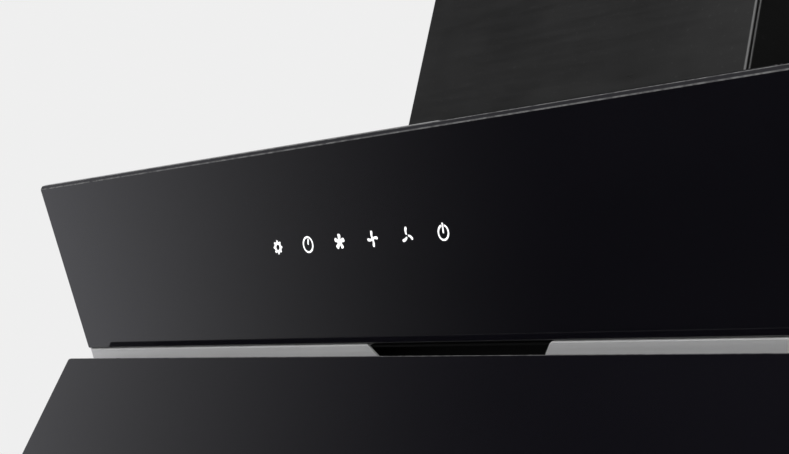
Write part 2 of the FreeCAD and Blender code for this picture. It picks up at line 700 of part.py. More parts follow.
def make_scroll():
    width, wall, rise = value("blower_width"), value("scroll_wall"), value("scroll_rise")
    inlet, roll = value("wheel_inner"), value("inlet_roll")
    outer = scroll_outline(wall).extrude(Vector(width - 2 * wall, 0, 0))
    inner = scroll_outline(0).extrude(Vector(width - 2 * wall, 0, 0))
    mouth = Part.makeBox(width, 3 * value("scroll_end"), 3 * wall,
                         Vector(0, -1.5 * value("scroll_end"), rise - wall))
    wrap = outer.cut(inner).cut(mouth)
    keep(shaped("scroll_wrap", at_axle(wrap, -width / 2 + wall)))
    for side, sign in sides:
        cheek = scroll_outline(wall).extrude(Vector(wall, 0, 0)).cut(mouth)
        start = -width / 2 if sign < 0 else width / 2 - wall
        cheek.translate(Vector(start, 0, 0))
        # inlet bell: pressed into the scroll in two cones, from the cheek's outer face
        steps = [math.radians(angle) for angle in (90, 45, 0)]

        def bell(radius):
            return [Vector(sign * (width / 2 - roll + radius * math.sin(step)),
                           inlet + roll - radius * math.cos(step), 0) for step in steps]

        rim = bell(roll) + bell(roll - wall)[::-1]
        lip = Part.Face(Part.makePolygon(rim + rim[:1])).revolve(Vector(0, 0, 0), RIGHT, 360)
        hole = Part.makeCylinder(inlet + roll, 3 * wall, Vector(start - wall, 0, 0), Vector(1, 0, 0))
        keep(shaped("scroll_cheek_" + side, at_axle(cheek.cut(hole).fuse(lip).removeSplitter())))


def make_impeller():
    """Double-inlet wheel: forward-curved blades between two rings, carried by a centre disc."""
    outer, inner, width = value("wheel_radius"), value("wheel_inner"), value("wheel_width")
    wall, hub = value("blade_wall"), value("hub_radius")

    def ring(place, length, inside, outside):
        solid = Part.makeCylinder(outside, length, Vector(place, 0, 0), RIGHT)
        return solid.cut(Part.makeCylinder(inside, 3 * length, Vector(place - length, 0, 0), RIGHT))

    # forward-curved blade: flats along an arc from the inner edge of the rings out to their rim
    lean, bow, inset = value("blade_lean"), value("blade_bow"), value("blade_inset")
    flat_count = 2
    ring_wall, disc_wall, boss = value("ring_wall"), value("disc_wall"), value("boss_length")

    def on_blade(share, lift):
        height = (inner + inset) * (1 - share) + (outer - inset) * share
        sideways = -lean * (1 - share) + 4 * bow * share * (1 - share)
        return Vector(0, height, sideways + lift)

    shares = [index / flat_count for index in range(flat_count + 1)]
    rim = [on_blade(share, 0) for share in shares] + [on_blade(share, wall) for share in shares[::-1]]
    blade = Part.Face(Part.makePolygon(rim + rim[:1])).extrude(Vector(width - ring_wall, 0, 0))
    blade.translate(Vector((ring_wall - width) / 2, 0, 0))
    count = int(value("blade_count"))
    blades = []
    for index in range(count):
        copy = blade.copy()
        copy.rotate(Vector(0, 0, 0), RIGHT, 360.0 * index / count)
        blades.append(copy)
    ends = [ring(place, ring_wall, inner, outer) for place in (-width / 2, width / 2 - ring_wall)]
    disc = ring(-disc_wall / 2, disc_wall, value("shaft_radius"), outer)
    hub_ring = ring(-boss / 2, boss, value("shaft_radius"), hub)
    wheel = disc.fuse([hub_ring] + ends + blades)
    keep(shaped("impeller", at_axle(wheel)))
    start = "(-boss_length / 2 - shaft_stand)"
    shaft = cylinder("motor_shaft", "X", start, axle_y, axle_z, "shaft_radius",
                     "motor_start + motor_length - shaft_seat - " + start)
    keep(shaft)


def make_motor():
    """Motor in the right-hand inlet, held by a three-legged bracket on the scroll's cheek."""
    body = start_body("motor_can")
    start, end = "motor_start", "(motor_start + motor_length)"
    seam = "(motor_start + motor_length / 3)"
    nose, bore = start + " - motor_nose", "shaft_radius + pin_fit"
    seat = end + " - motor_nose"
    profile = [(nose, bore), (nose, "hub_radius"), (start, "hub_radius"),
               (start, "motor_radius - motor_shoulder"),
               (start + " + motor_shoulder", "motor_radius - can_step"),
               (seam, "motor_radius - can_step"), (seam, "motor_radius"),
               (end + " - motor_shoulder", "motor_radius"), (end, "motor_radius - motor_shoulder"),
               (end, "hub_radius"), (seat, "hub_radius"), (seat, bore)]
    turned = body.newObject("PartDesign::Revolution", "motor_can_turned")
    turned.Profile = draw(body, "XY_Plane", [profile])
    turned.ReferenceAxis = (turned.Profile[0], ["H_Axis"])
    document.recompute()
    keep(move(body, "0", axle_y, axle_z))
    outside = "blower_width / 2"
    legs = []
    for index in range(3):
        leg = document.addObject("Part::Box", "motor_bracket_leg_%d" % index)
        leg.setExpression("Length", bound("ear_wall"))
        leg.setExpression("Width", bound("arm_width"))
        leg.setExpression("Height", bound("wheel_inner + star_reach"))
        angle = "(star_angle + %d)" % (index * 120)
        turn(leg, RIGHT, angle)
        shift_y = "%s - arm_width / 2 * cos(%s)" % (axle_y, angle)
        shift_z = "%s - arm_width / 2 * sin(%s)" % (axle_z, angle)
        legs.append(move(leg, outside, shift_y, shift_z))
    ring = cylinder("motor_bracket_ring", "X", outside, axle_y, axle_z, "motor_radius + band_wall",
                    "band_width")
    seat = cylinder("motor_bracket_seat", "X", outside + " - band_width", axle_y, axle_z,
                    "motor_radius", "3 * band_width")
    keep(carve("motor_bracket", join("motor_bracket_star", legs + [ring]), seat))


# ---------------------------------------------------------------- outlet, flaps
outlet_floor = "(blower_height + scroll_rise - scroll_wall)"
collar_foot = "(%s + adapter_height)" % outlet_floor
collar_y = "-chimney_depth / 2"
flap_level = "(%s + flap_stand)" % collar_foot


def make_outlet_adapter():
    """Moulded adapter: a flange on the scroll's mouth, a funnel of flat walls drawn in to a square,
    a shoulder, and the round collar with a ledge inside that stops the flaps."""
    wall, radius = value("collar_wall"), value("collar_radius")
    floor, foot = value(outlet_floor), value(collar_foot)
    centre = Vector(0, value(collar_y), 0)
    half_width = value("blower_width") / 2
    shoulder = radius + value("adapter_shoulder")
    front = value(axle_y) - value("scroll_end") - value("scroll_wall")
    back = value(axle_y) + (value("scroll_start") + value("scroll_wall")) * math.sin(
        math.radians(value("cutoff_angle")))

    def mouth(inset, height):
        """The scroll's rectangle, drawn in by an inset."""
        low, high, wide = front + inset, back - inset, half_width - inset
        return [Vector(-wide, low, height), Vector(wide, low, height), Vector(wide, high, height),
                Vector(-wide, high, height)]

    def square(reach, height):
        """A square about the collar's axis."""
        return [centre + Vector(x * reach, y * reach, height)
                for x, y in ((-1, -1), (1, -1), (1, 1), (-1, 1))]

    def funnel(low, high):
        """Solid between two rectangles whose edges run alike, so that each wall is flat."""
        walls = [low, high]
        for index in range(4):
            following = (index + 1) % 4
            walls.append([low[index], low[following], high[following], high[index]])
        faces = [Part.Face(Part.makePolygon(corners + corners[:1])) for corners in walls]
        return Part.makeSolid(Part.makeShell(faces))

    shell = funnel(mouth(0, floor + wall), square(shoulder, foot)).cut(
        funnel(mouth(wall, floor + wall), square(shoulder - wall, foot)))
    deck = Part.makeBox(2 * shoulder, 2 * shoulder, wall,
                        centre + Vector(-shoulder, -shoulder, foot))
    height = value("collar_height")
    tube = Part.makeCylinder(radius, height, centre + Vector(0, 0, foot))
    bore = Part.makeCylinder(radius - wall, height, centre + Vector(0, 0, foot))
    level = value(flap_level)
    ledge_top = level - value("flap_wall") / 2 - value("running_gap")
    ledge_wall, ledge_reach = value("ledge_wall"), value("ledge_reach")
    ledge_foot = centre + Vector(0, 0, ledge_top - ledge_wall)
    ledge = Part.makeCylinder(radius - wall, ledge_wall, ledge_foot)
    ledge = ledge.cut(Part.makeCylinder(radius - wall - ledge_reach, ledge_wall, ledge_foot))
    # the ledge stops short of the flap knuckles on both sides
    gap = value("flap_hinge") + 2 * value("flap_knuckle")
    knuckle_room = Part.makeBox(2 * radius, 2 * gap, ledge_wall, ledge_foot - Vector(radius, gap, 0))
    ledge = ledge.cut(knuckle_room)
    rim = value("adapter_rim")
    flange = Part.makeBox(2 * (half_width + rim), back - front + 2 * rim, wall,
                          Vector(-half_width - rim, front - rim, floor))
    throat = mouth(wall, floor)
    throat = Part.Face(Part.makePolygon(throat + throat[:1])).extrude(Vector(0, 0, wall))
    whole = flange.cut(throat).fuse([shell, deck.fuse(tube).cut(bore), ledge])
    for sign in (-1, 1):
        pin_hole = Part.makeCylinder(value("flap_pin"), 3 * radius,
                                     Vector(-1.5 * radius, centre.y + sign * value("flap_hinge"), level),
                                     RIGHT)
        whole = whole.cut(pin_hole)
    keep(shaped("outlet_adapter", whole.removeSplitter()))


def make_flaps():
    pins = []
    for side, sign in (("front", -1), ("back", 1)):
        hinge_y = "%s + %d * flap_hinge" % (collar_y, sign)
        pins.append(cylinder("flap_pin_" + side, "X", "-collar_radius + running_gap", hinge_y,
                             flap_level, "flap_pin", "2 * collar_radius - 2 * running_gap"))
        name = "flap_" + side
        reach = "(collar_radius - collar_wall - flap_gap)"
        disc = cylinder(name + "_disc", "Z", "0", collar_y, flap_level + " - flap_wall / 2", reach,
                        "flap_wall")
        if sign < 0:
            waste_y = "%s - flap_hinge" % collar_y
        else:
            waste_y = "%s + flap_hinge - 2 * collar_radius" % collar_y
        waste = box(name + "_waste", "-collar_radius", waste_y, flap_level + " - flap_room",
                    "2 * collar_radius", "2 * collar_radius", "2 * flap_room")
        leaf = carve(name + "_leaf", disc, waste)
        knuckle = cylinder(name + "_knuckle", "X", "-" + reach + " + knuckle_margin", hinge_y,
                           flap_level, "flap_knuckle", "2 * %s - 2 * knuckle_margin" % reach)
        bore = cylinder(name + "_bore", "X", "-2 * collar_radius", hinge_y, flap_level,
                        "flap_pin + pin_fit", "4 * collar_radius")
        keep(carve(name, join(name + "_solid", [leaf, knuckle]), bore))
    keep(group("flap_pins", pins))


# ---------------------------------------------------------------- chimney
def make_chimney_front():
    body = start_body("chimney_front")
    reach, back = "chimney_width / 2", "-chimney_depth + 2 * sheet_wall"
    outline = [("-" + reach, "-chimney_depth", "bend_radius"), (reach, "-chimney_depth", "bend_radius"),
               (reach, back), ("-" + reach, back)]
    block = pad(body, "XY_Plane", [outline], "chimney_height", "top_height")
    fold(body, block, "sheet_wall", BACK, UP, -UP)
    keep(body)


def make_chimney_side(side, sign):
    """Side sheet with a wall flange, and a joggled front flange behind the front sheet."""
    wall = "sheet_wall"
    joggle = "(chimney_width / 2 - 3 * sheet_wall)"
    turn_y = "(-chimney_depth + 2 * sheet_wall + seam_gap)"
    face_y = "(-chimney_depth + sheet_wall)"
    outer, inner = "(chimney_width / 2)", "(chimney_width / 2 - sheet_wall)"
    tongue = "(chimney_width / 2 - chimney_flange)"
    joggle_in, face_in, turn_in = [edge + " %s " % way + wall for edge, way in
                                   ((joggle, "-"), (face_y, "+"), (turn_y, "+"))]
    points = [(tongue, "0"), (outer, "0"), (outer, turn_y, "bend_radius"), (joggle, turn_y),
              (joggle, face_y), (tongue, face_y), (tongue, face_in), (joggle_in, face_in),
              (joggle_in, turn_in), (inner, turn_in), (inner, "-" + wall), (tongue, "-" + wall)]
    body = start_body("chimney_side_" + side)
    if sign < 0:
        points = [("-(%s)" % point[0],) + point[1:] for point in points]
    pad(body, "XY_Plane", [points], "chimney_height", "top_height")
    keep(body)


sleeve_half = "(chimney_width / 2 - sheet_wall - sleeve_gap)"
sleeve_front = "(-chimney_depth + 3 * sheet_wall + seam_gap + sleeve_gap)"
sleeve_back = "(-sheet_wall - sleeve_gap)"
sleeve_top = "(top_height + chimney_height + sleeve_show)"


def make_sleeve():
    """Inner chimney: a folded channel, open to the wall, with vent slots near its top."""
    body = start_body("chimney_sleeve")
    hem = "(%s - chimney_flange)" % sleeve_half
    wall = "sheet_wall"
    points = [("-" + hem, sleeve_back), ("-" + sleeve_half, sleeve_back), ("-" + sleeve_half, sleeve_front),
              (sleeve_half, sleeve_front), (sleeve_half, sleeve_back), (hem, sleeve_back),
              (hem, sleeve_back + " - " + wall), (sleeve_half + " - " + wall, sleeve_back + " - " + wall),
              (sleeve_half + " - " + wall, sleeve_front + " + " + wall),
              ("-%s + %s" % (sleeve_half, wall), sleeve_front + " + " + wall),
              ("-%s + %s" % (sleeve_half, wall), sleeve_back + " - " + wall),
              ("-" + hem, sleeve_back + " - " + wall)]
    pad(body, "XY_Plane", [points], "sleeve_length", sleeve_top + " - sleeve_length")
    low = "-chimney_depth / 2 - vent_length / 2"
    first = sleeve_top + " - vent_margin - vent_height"
    slot = rectangle(low, low + " + vent_length", first, first + " + vent_height")
    cut = pocket(body, "YZ_Plane", [slot], "chimney_width", "-chimney_width / 2", "vents")
    rows = body.newObject("PartDesign::LinearPattern", "chimney_sleeve_vent_rows")
    rows.Originals = [cut]
    rows.Direction = (origin_plane(body, "Z_Axis"), [""])
    rows.Reversed = True
    rows.setExpression("Length", bound("vent_pitch * (vent_count - 1)"))
    rows.setExpression("Occurrences", bound("vent_count"))
    body.Tip = rows
    document.recompute()
    keep(body)


def make_sleeve_bracket():
    """Wall bracket inside the sleeve's top: flat on the wall, with ends joggled over the hems."""
    body = start_body("sleeve_bracket")
    wall = "sheet_wall"
    reach = "(%s - sheet_wall - running_gap)" % sleeve_half
    bend = "(%s - chimney_flange - bracket_clearance)" % sleeve_half
    front = "(%s - sheet_wall)" % sleeve_back
    half_profile = [(bend, "0"), (bend, front), (reach, front), (reach, front + " - " + wall),
                    (bend + " - " + wall, front + " - " + wall), (bend + " - " + wall, "-" + wall)]
    other_half = [("-(%s)" % x, y) for x, y in reversed(half_profile)]
    low = sleeve_top + " - bracket_drop"
    pad(body, "XY_Plane", [half_profile + other_half], "2 * chimney_flange", low)
    holes = [(sign + "bracket_half", low + " + chimney_flange", "bracket_hole") for sign in ("-", "")]
    pocket(body, "XZ_Plane", holes, "2 * sheet_wall", "-1.5 * sheet_wall", "fixing_holes")
    keep(body)


# ---------------------------------------------------------------- lamps, cup, terminal box
def make_lamp(side, sign):
    """Turned lamp housing with a bevelled rim under the floor, and the lens set into it."""
    place = "%d * %s" % (sign, lamp_place)
    foot = "(-bottom_depth - rim_wall)"
    name = "lamp_body_" + side
    body = start_body(name)
    seat, top = "(%s + lamp_seat)" % foot, "(-bottom_depth + lamp_height)"
    profile = [("0", seat), ("lens_radius", seat), ("lens_radius", foot),
               ("lamp_rim - lamp_bevel", foot), ("lamp_rim", foot + " + lamp_bevel"),
               ("lamp_rim", "-bottom_depth"), ("lamp_radius", "-bottom_depth"),
               ("lamp_radius", top), ("0", top)]
    turned = body.newObject("PartDesign::Revolution", name + "_turned")
    turned.Profile = draw(body, "XZ_Plane", [profile])
    turned.ReferenceAxis = (turned.Profile[0], ["V_Axis"])
    document.recompute()
    keep(move(body, place, lamp_line, "0"))
    lens = cylinder("lamp_lens_" + side, "Z", place, lamp_line, foot + " + lens_recess",
                    "lens_radius", "lamp_seat - lens_recess")
    keep(lens)


rail_inside = "(cup_length / 2 - cup_lip + running_gap)"


def make_oil_cup():
    """Cup that hangs by two lips on rails under the floor."""
    low = "(-bottom_depth - rail_wall - running_gap - cup_height)"
    body = start_body("oil_cup")
    reach = "cup_length / 2 - cup_lip"
    front, back = "(-cup_setback - cup_width)", "-cup_setback"
    outline = rectangle("-(%s)" % reach, reach, front, back)
    block = pad(body, "XY_Plane", [outline], "cup_height", low)
    fold(body, block, "cup_wall", UP)
    lip_low = "(%s + cup_height - cup_wall)" % low
    for side, sign in sides:
        near, far = "(%s)" % reach, "cup_length / 2"
        span = (near, far) if sign > 0 else ("-" + far, "-" + near)
        pad(body, "XY_Plane", [rectangle(span[0], span[1], front, back)], "cup_wall", lip_low,
            "lip_" + side)
    keep(body)
    rails = []
    for side, sign in sides:
        name = "cup_rail_" + side
        hang = "(rail_wall + cup_wall + 3 * running_gap)"
        outer = "(cup_length / 2 + running_gap)"
        left = outer if sign > 0 else "-%s - rail_wall" % outer
        web = box(name + "_web", left, front, "-bottom_depth - %s - rail_wall" % hang, "rail_wall",
                  "cup_width", hang + " + rail_wall")
        shelf_left = rail_inside if sign > 0 else "-%s - rail_wall" % outer
        shelf = box(name + "_shelf", shelf_left, front, "-bottom_depth - %s - rail_wall" % hang,
                    "%s + rail_wall - %s" % (outer, rail_inside), "cup_width", "rail_wall")
        rails.append(join(name, [web, shelf]))
    keep(group("cup_rails", rails))


def make_terminal_box():
    body = start_body("terminal_box")
    left = "box_place - box_length / 2"
    low = "-box_height - box_drop"
    outline = rectangle(left, left + " + box_length", low, low + " + box_height")
    block = pad(body, "XZ_Plane", [outline], "box_depth", "-sheet_wall - box_depth")
    fold(body, block, "box_wall", -BACK)
    keep(body)
    lid = start_body("terminal_lid")
    plate = pad(lid, "XZ_Plane", [outline], "box_wall", "-sheet_wall - box_depth - box_wall")
    dress(lid, plate, "Chamfer", "lid_bevel", front_outline(plate.Shape), "bevel")
    keep(lid)
    keep(cylinder("run_capacitor", "Z", "box_place - box_length", "-sheet_wall - capacitor_radius", low,
                  "capacitor_radius", "capacitor_height"))


def make_cable_gland():
    """Gland in the top cover: a shank under the sheet, a hexagon nut and a cap above it."""
    place, back = "gland_place", "-gland_setback"
    shank = cylinder("gland_shank", "Z", place, back, "top_height - sheet_wall - gland_shank",
                     "gland_radius", "gland_shank + sheet_wall")
    nut = document.addObject("Part::Prism", "gland_nut")
    nut.Polygon = 6
    nut.setExpression("Circumradius", bound("gland_radius + gland_rim"))
    nut.setExpression("Height", bound("gland_nut"))
    move(nut, place, back, "top_height")
    cap = cylinder("gland_top", "Z", place, back, "top_height + gland_nut", "gland_radius",
                   "gland_cap")
    bore = cylinder("gland_hole", "Z", place, back, "top_height - sheet_wall - 2 * gland_shank",
                    "gland_bore", "4 * gland_shank")
    keep(carve("cable_gland", join("gland_solid", [shank, nut, cap]), bore))


def make_catches():
    """Magnet posts on the filter wall, which the closed panel's pan meets."""
    depth = "(glass_wall + pan_depth + running_gap)"
    posts = [box("catch_%s" % side, "%d * %s - catch_width / 2" % (sign, arm_place), depth,
                 "-panel_drop - lower_glass_height + pan_foot", "catch_width",
                 "filter_wall_depth - " + depth, "catch_height") for side, sign in sides]
    keep(on_slope(group("magnet_catches", posts)))


def make_blower_carriers():
    """Angle brackets that stand on the top cover beside its throat and carry the scroll's cheeks."""
    carriers = []
    back = "(-blower_setback + scroll_start * sin(cutoff_angle) - carrier_inset)"
    for side, sign in sides:
        near, far = "(blower_width / 2)", "(blower_width / 2 + carrier_foot)"
        inner = near + " + carrier_sheet"
        profile = [(near, "top_height"), (far, "top_height"), (far, "top_height + carrier_sheet"),
                   (inner, "top_height + carrier_sheet"), (inner, "top_height + carrier_leg"),
                   (near, "top_height + carrier_leg")]
        if sign < 0:
            profile = [("-(%s)" % x, z) for x, z in profile]
        body = start_body("blower_carrier_" + side)
        front = blower_front + " + carrier_inset"
        pad(body, "XZ_Plane", [profile], "%s - %s" % (back, front), front)
        carriers.append(body)
    keep(group("blower_carriers", carriers))


def build():
    make_upper_glass()
    make_fascia_plate()
    make_front_strip()
    make_finger_liner()
    make_back_plate()
    make_top_cover()
    make_bottom_plate()
    make_filter_wall()
    make_lower_glass()
    make_panel_pan()
    make_friction_washers()
    make_controls()
    for side, sign in sides:
        make_cheek(side, sign)
        make_hinge_arm(side, sign)
        make_hinge_bracket(side, sign)
        make_hinge_pin(side, sign)
        make_filter(side, sign)
        make_latch(side, sign)
        make_chimney_side(side, sign)
        make_lamp(side, sign)
    make_scroll()
    make_impeller()
    make_motor()
    make_outlet_adapter()
    make_flaps()
    make_chimney_front()
    make_sleeve()
    make_sleeve_bracket()
    make_oil_cup()
    make_terminal_box()
    make_cable_gland()
    make_catches()
    make_blower_carriers()


def check_and_write():
    document.recompute()
    for item in document.Objects:
        if "Invalid" in item.State or "Error" in item.State:
            raise RuntimeError("%s did not build: %s" % (item.Label, item.State))
    os.makedirs("parts", exist_ok=True)
    for node in nodes:
        if node.Shape.isNull() or not node.Shape.isValid() or not node.Shape.Solids:
            raise RuntimeError(node.Label + " has no sound shape")
    for node in nodes:
        node.Shape.exportStep("parts/%s.step" % node.Label)
    print(len(nodes), "sub-parts written")


build()
check_and_write()
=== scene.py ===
import json
import math

import bmesh
import bpy
import numpy as np
from mathutils import Matrix, Vector


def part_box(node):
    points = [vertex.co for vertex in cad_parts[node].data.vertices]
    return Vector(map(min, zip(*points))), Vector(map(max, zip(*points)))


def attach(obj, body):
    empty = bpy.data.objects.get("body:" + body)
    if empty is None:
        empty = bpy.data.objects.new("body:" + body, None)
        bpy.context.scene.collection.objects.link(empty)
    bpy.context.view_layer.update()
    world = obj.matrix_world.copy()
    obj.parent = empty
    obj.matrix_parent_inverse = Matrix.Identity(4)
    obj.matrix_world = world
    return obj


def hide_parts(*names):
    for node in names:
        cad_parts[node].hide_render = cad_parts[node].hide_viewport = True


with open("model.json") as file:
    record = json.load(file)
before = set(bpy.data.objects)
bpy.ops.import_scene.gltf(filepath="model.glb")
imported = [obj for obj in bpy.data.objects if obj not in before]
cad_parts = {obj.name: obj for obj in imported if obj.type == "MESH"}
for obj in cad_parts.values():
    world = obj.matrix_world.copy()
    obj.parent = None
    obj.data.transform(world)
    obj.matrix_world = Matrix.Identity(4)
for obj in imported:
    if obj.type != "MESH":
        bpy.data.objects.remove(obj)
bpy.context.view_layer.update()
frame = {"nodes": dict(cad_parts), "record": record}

nodes = frame["nodes"]
print("frame loaded:", len(nodes), "nodes")

mm = 0.001
bothSides = ("left", "right")

# the slope of the closed front: depth runs in from the upper pane's face, rise runs up it
slope = {"tilt": 35.0, "reach": 303.0, "drop": 70.0, "swing": 48.0}
slopeAngle = math.radians(slope["tilt"])
slopeSine, slopeCosine = math.sin(slopeAngle), math.cos(slopeAngle)
slopeFront = (0, -slopeCosine, -slopeSine)


def onSlope(points):
    # points as (x, depth, rise) in millimetres, turned by the tilt about X and set at the pane's
    # lower edge
    x, depth, rise = points[..., 0], points[..., 1], points[..., 2]
    y = -slope["reach"] + depth * slopeCosine - rise * slopeSine
    z = -slope["drop"] + depth * slopeSine + rise * slopeCosine
    return np.stack([x, y, z], axis=-1) * mm


def slopeBox(name):
    # a node's lowest and highest corner as (x, depth, rise) in millimetres: onSlope turned back
    vertices = nodes[name].data.vertices
    points = np.empty(len(vertices) * 3)
    vertices.foreach_get("co", points)
    x, y, z = points.reshape(-1, 3).T / mm
    y, z = y + slope["reach"], z + slope["drop"]
    turned = np.stack([x, y * slopeCosine + z * slopeSine, z * slopeCosine - y * slopeSine])
    return turned.min(axis=1), turned.max(axis=1)


def feed(tree, socket, value):
    # a signal is linked to the socket, anything else is written on it
    if isinstance(value, Signal):
        tree.links.new(value.socket, socket)
    else:
        socket.default_value = value


class Signal:
    # wraps a node's output socket, so that arithmetic on it adds Math nodes
    def __init__(self, tree, socket=None):
        self.tree, self.socket = tree, socket

    def make(self, kind, settings=None, inputs=None, output=0):
        # any node: its settings first, then the values or links of its sockets
        node = self.tree.nodes.new(kind)
        for name, setting in (settings or {}).items():
            setattr(node, name, setting)
        for name, value in (inputs or {}).items():
            feed(self.tree, node.inputs[name], value)
        return Signal(self.tree, node.outputs[output])

    def maths(self, operation, first, second):
        return self.make("ShaderNodeMath", {"operation": operation}, {0: first, 1: second})

    def __add__(self, other):
        return self.maths("ADD", self, other)

    def __radd__(self, other):
        return self.maths("ADD", other, self)

    def __sub__(self, other):
        return self.maths("SUBTRACT", self, other)

    def __rsub__(self, other):
        return self.maths("SUBTRACT", other, self)

    def __mul__(self, other):
        return self.maths("MULTIPLY", self, other)

    def __rmul__(self, other):
        return self.maths("MULTIPLY", other, self)

    def __truediv__(self, other):
        return self.maths("DIVIDE", self, other)

    def __pow__(self, other):
        return self.maths("POWER", self, other)

    def clipped(self):
        return self.make("ShaderNodeClamp", None, {"Value": self})

    def ramped(self, start, width):
        # 0 up to the start, 1 from a width past it
        return ((self - start) / width).clipped()

    def between(self, low, high):
        return self.maths("GREATER_THAN", self, low) * self.maths("LESS_THAN", self, high)

    def mixed(self, low, high):
        # a colour between two colours, by this signal; a colour Mix has sockets 6, 7 and 2
        return self.make("ShaderNodeMix", {"data_type": "RGBA"}, {0: self, 6: low, 7: high}, 2)


def blend(share, first, second):
    return share * first + (1 - share) * second


def grey(level, warmth=0.0):
    return (level * (1 + warmth), level, level * (1 - warmth), 1.0)


class Finish:
    # one material: its place on the object, its patterns and its shader
    sockets = {"color": "Base Color", "metallic": "Metallic", "roughness": "Roughness",
               "normal": "Normal", "coat": "Coat Weight", "coatRoughness": "Coat Roughness",
               "ior": "IOR", "specular": "Specular IOR Level", "anisotropic": "Anisotropic",
               "glow": "Emission Color", "glowStrength": "Emission Strength"}

    def __init__(self, name):
        self.material = bpy.data.materials.new(name)
        self.material.use_nodes = True
        self.tree = self.material.node_tree
        self.shader = self.tree.nodes["Principled BSDF"]
        self.start = Signal(self.tree)
        self.place = self.start.make("ShaderNodeTexCoord", output="Object")

    def stretched(self, stretch):
        # a small factor draws the pattern out along its axis
        if stretch is None:
            return self.place
        return self.start.make("ShaderNodeMapping", None, {"Vector": self.place, "Scale": stretch})

    def noise(self, grain, stretch=None):
        # grain is (scale, detail) or (scale, detail, roughness)
        scale, detail, roughness = grain if len(grain) == 3 else (*grain, 0.5)
        return self.start.make("ShaderNodeTexNoise", None, {
            "Vector": self.stretched(stretch), "Scale": scale, "Detail": detail,
            "Roughness": roughness})

    def cells(self, scale, stretch=None, feature="F1", output="Distance"):
        return self.start.make("ShaderNodeTexVoronoi", {"feature": feature},
                               {"Vector": self.stretched(stretch), "Scale": scale}, output)

    def facing(self, direction):
        # how squarely the surface looks in a direction of the object's own space
        normal = self.start.make("ShaderNodeTexCoord", output="Normal")
        return self.start.make("ShaderNodeVectorMath", {"operation": "DOT_PRODUCT"},
                               {0: normal, 1: direction}, "Value")

    def bump(self, height, relief):
        # relief is (strength, distance in metres)
        return self.start.make("ShaderNodeBump", None, {
            "Height": height, "Strength": relief[0], "Distance": relief[1]})

    def set(self, **values):
        for name, value in values.items():
            feed(self.tree, self.shader.inputs[self.sockets[name]], value)
        return self.material


def blackGlass(name, front, groundBands):
    # polished float glass, printed black behind; the slants in the bands are ground arrises, paler
    # than their frosting alone: a painted highlight for the light lines along them
    look = {"deep": (0.0050, 0.0047, 0.0070, 1), "pale": (0.0078, 0.0072, 0.0105, 1),
            "ground": grey(0.17), "chipGain": 2.6, "chipCut": 0.6, "ior": 1.52,
            "polish": 0.03, "smear": 0.05, "smearPower": 3, "dust": 0.01, "matt": 0.45,
            "bevel": 0.35, "bevelBand": (0.6, 0.8),
            "smearGrain": (9.0, 4.0), "streakGrain": (2.4, 2.0), "streakStretch": (1.0, 4.0, 4.0),
            "dustGrain": (900.0, 1.0), "chipGrain": (210.0, 3.0), "chipStretch": (1.0, 0.05, 0.05),
            "waveGrain": (3.0, 1.0), "waveRelief": (0.02, 0.0006)}
    finish = Finish(name)
    smear = finish.noise(look["smearGrain"])
    dust = finish.noise(look["dustGrain"])
    wave = finish.noise(look["waveGrain"])
    streak = finish.noise(look["streakGrain"], look["streakStretch"])
    chips = finish.noise(look["chipGrain"], look["chipStretch"])
    slant = finish.facing(front)
    # partly real frosted grind and partly painted highlight: the arris bands get a pale base colour
    # for the light lines they catch
    ground = sum(slant.between(low, high) for low, high in groundBands).clipped()
    edge = (ground * (look["chipGain"] * chips - look["chipCut"])).clipped()
    return finish.set(color=edge.mixed(streak.mixed(look["deep"], look["pale"]), look["ground"]),
                      roughness=(look["polish"] + look["smear"] * (smear ** look["smearPower"])
                                 + look["dust"] * dust + look["matt"] * ground
                                 + look["bevel"] * slant.between(*look["bevelBand"])),
                      ior=look["ior"], normal=finish.bump(wave, look["waveRelief"]))


def upperGlass():
    # the fine arrises on either side of the top bevel lie at 22.5 and 67.5 degrees to the front
    return blackGlass("upperGlass", slopeFront, ((0.80, 0.98), (0.25, 0.55)))


def lowerGlass():
    # the pane hangs open, so its front has turned by the swing
    turn = math.radians(slope["tilt"] - slope["swing"])
    return blackGlass("lowerGlass", (0, -math.cos(turn), -math.sin(turn)), ((0.25, 0.95),))


def brushedStrip():
    # stainless strip: long hair lines over slow clouds
    look = {"dark": grey(0.74), "bright": grey(0.90), "metal": 0.45, "brushing": 0.4,
            "rough": 0.48, "hairRough": 0.12, "hairShare": 0.75, "hairGrain": (420.0, 3.0),
            "hairStretch": (0.012, 1.0, 1.0), "cloudGrain": (6.0, 2.0), "relief": (0.12, 0.00006)}
    finish = Finish("brushedStrip")
    hair = finish.noise(look["hairGrain"], look["hairStretch"])
    cloud = finish.noise(look["cloudGrain"])
    tone = blend(look["hairShare"], hair, cloud).clipped()
    return finish.set(color=tone.mixed(look["dark"], look["bright"]), metallic=look["metal"],
                      roughness=look["rough"] + look["hairRough"] * hair,
                      anisotropic=look["brushing"], normal=finish.bump(hair, look["relief"]))


paints = {
    "blackPaint": {"dark": grey(0.009), "pale": grey(0.014), "rough": 0.34, "mottle": 0.08,
                   "relief": (0.35, 0.00005)},
    "motorPaint": {"dark": grey(0.05), "pale": grey(0.075), "rough": 0.42, "mottle": 0.1,
                   "relief": (0.3, 0.00005)},
}


def satinPaint(name):
    # powder coat: fine orange peel over slow clouds of tone
    look = {"peelGrain": (1500.0, 2.0), "cloudGrain": (14.0, 5.0, 0.62), "patchGrain": (3.0, 3.0),
            "cloudShare": 0.55, **paints[name]}
    finish = Finish(name)
    peel = finish.noise(look["peelGrain"])
    clouds = finish.noise(look["cloudGrain"])
    patches = finish.noise(look["patchGrain"])
    tone = blend(look["cloudShare"], clouds, patches).clipped()
    return finish.set(color=tone.mixed(look["dark"], look["pale"]),
                      roughness=look["rough"] + look["mottle"] * clouds,
                      normal=finish.bump(peel, look["relief"]))


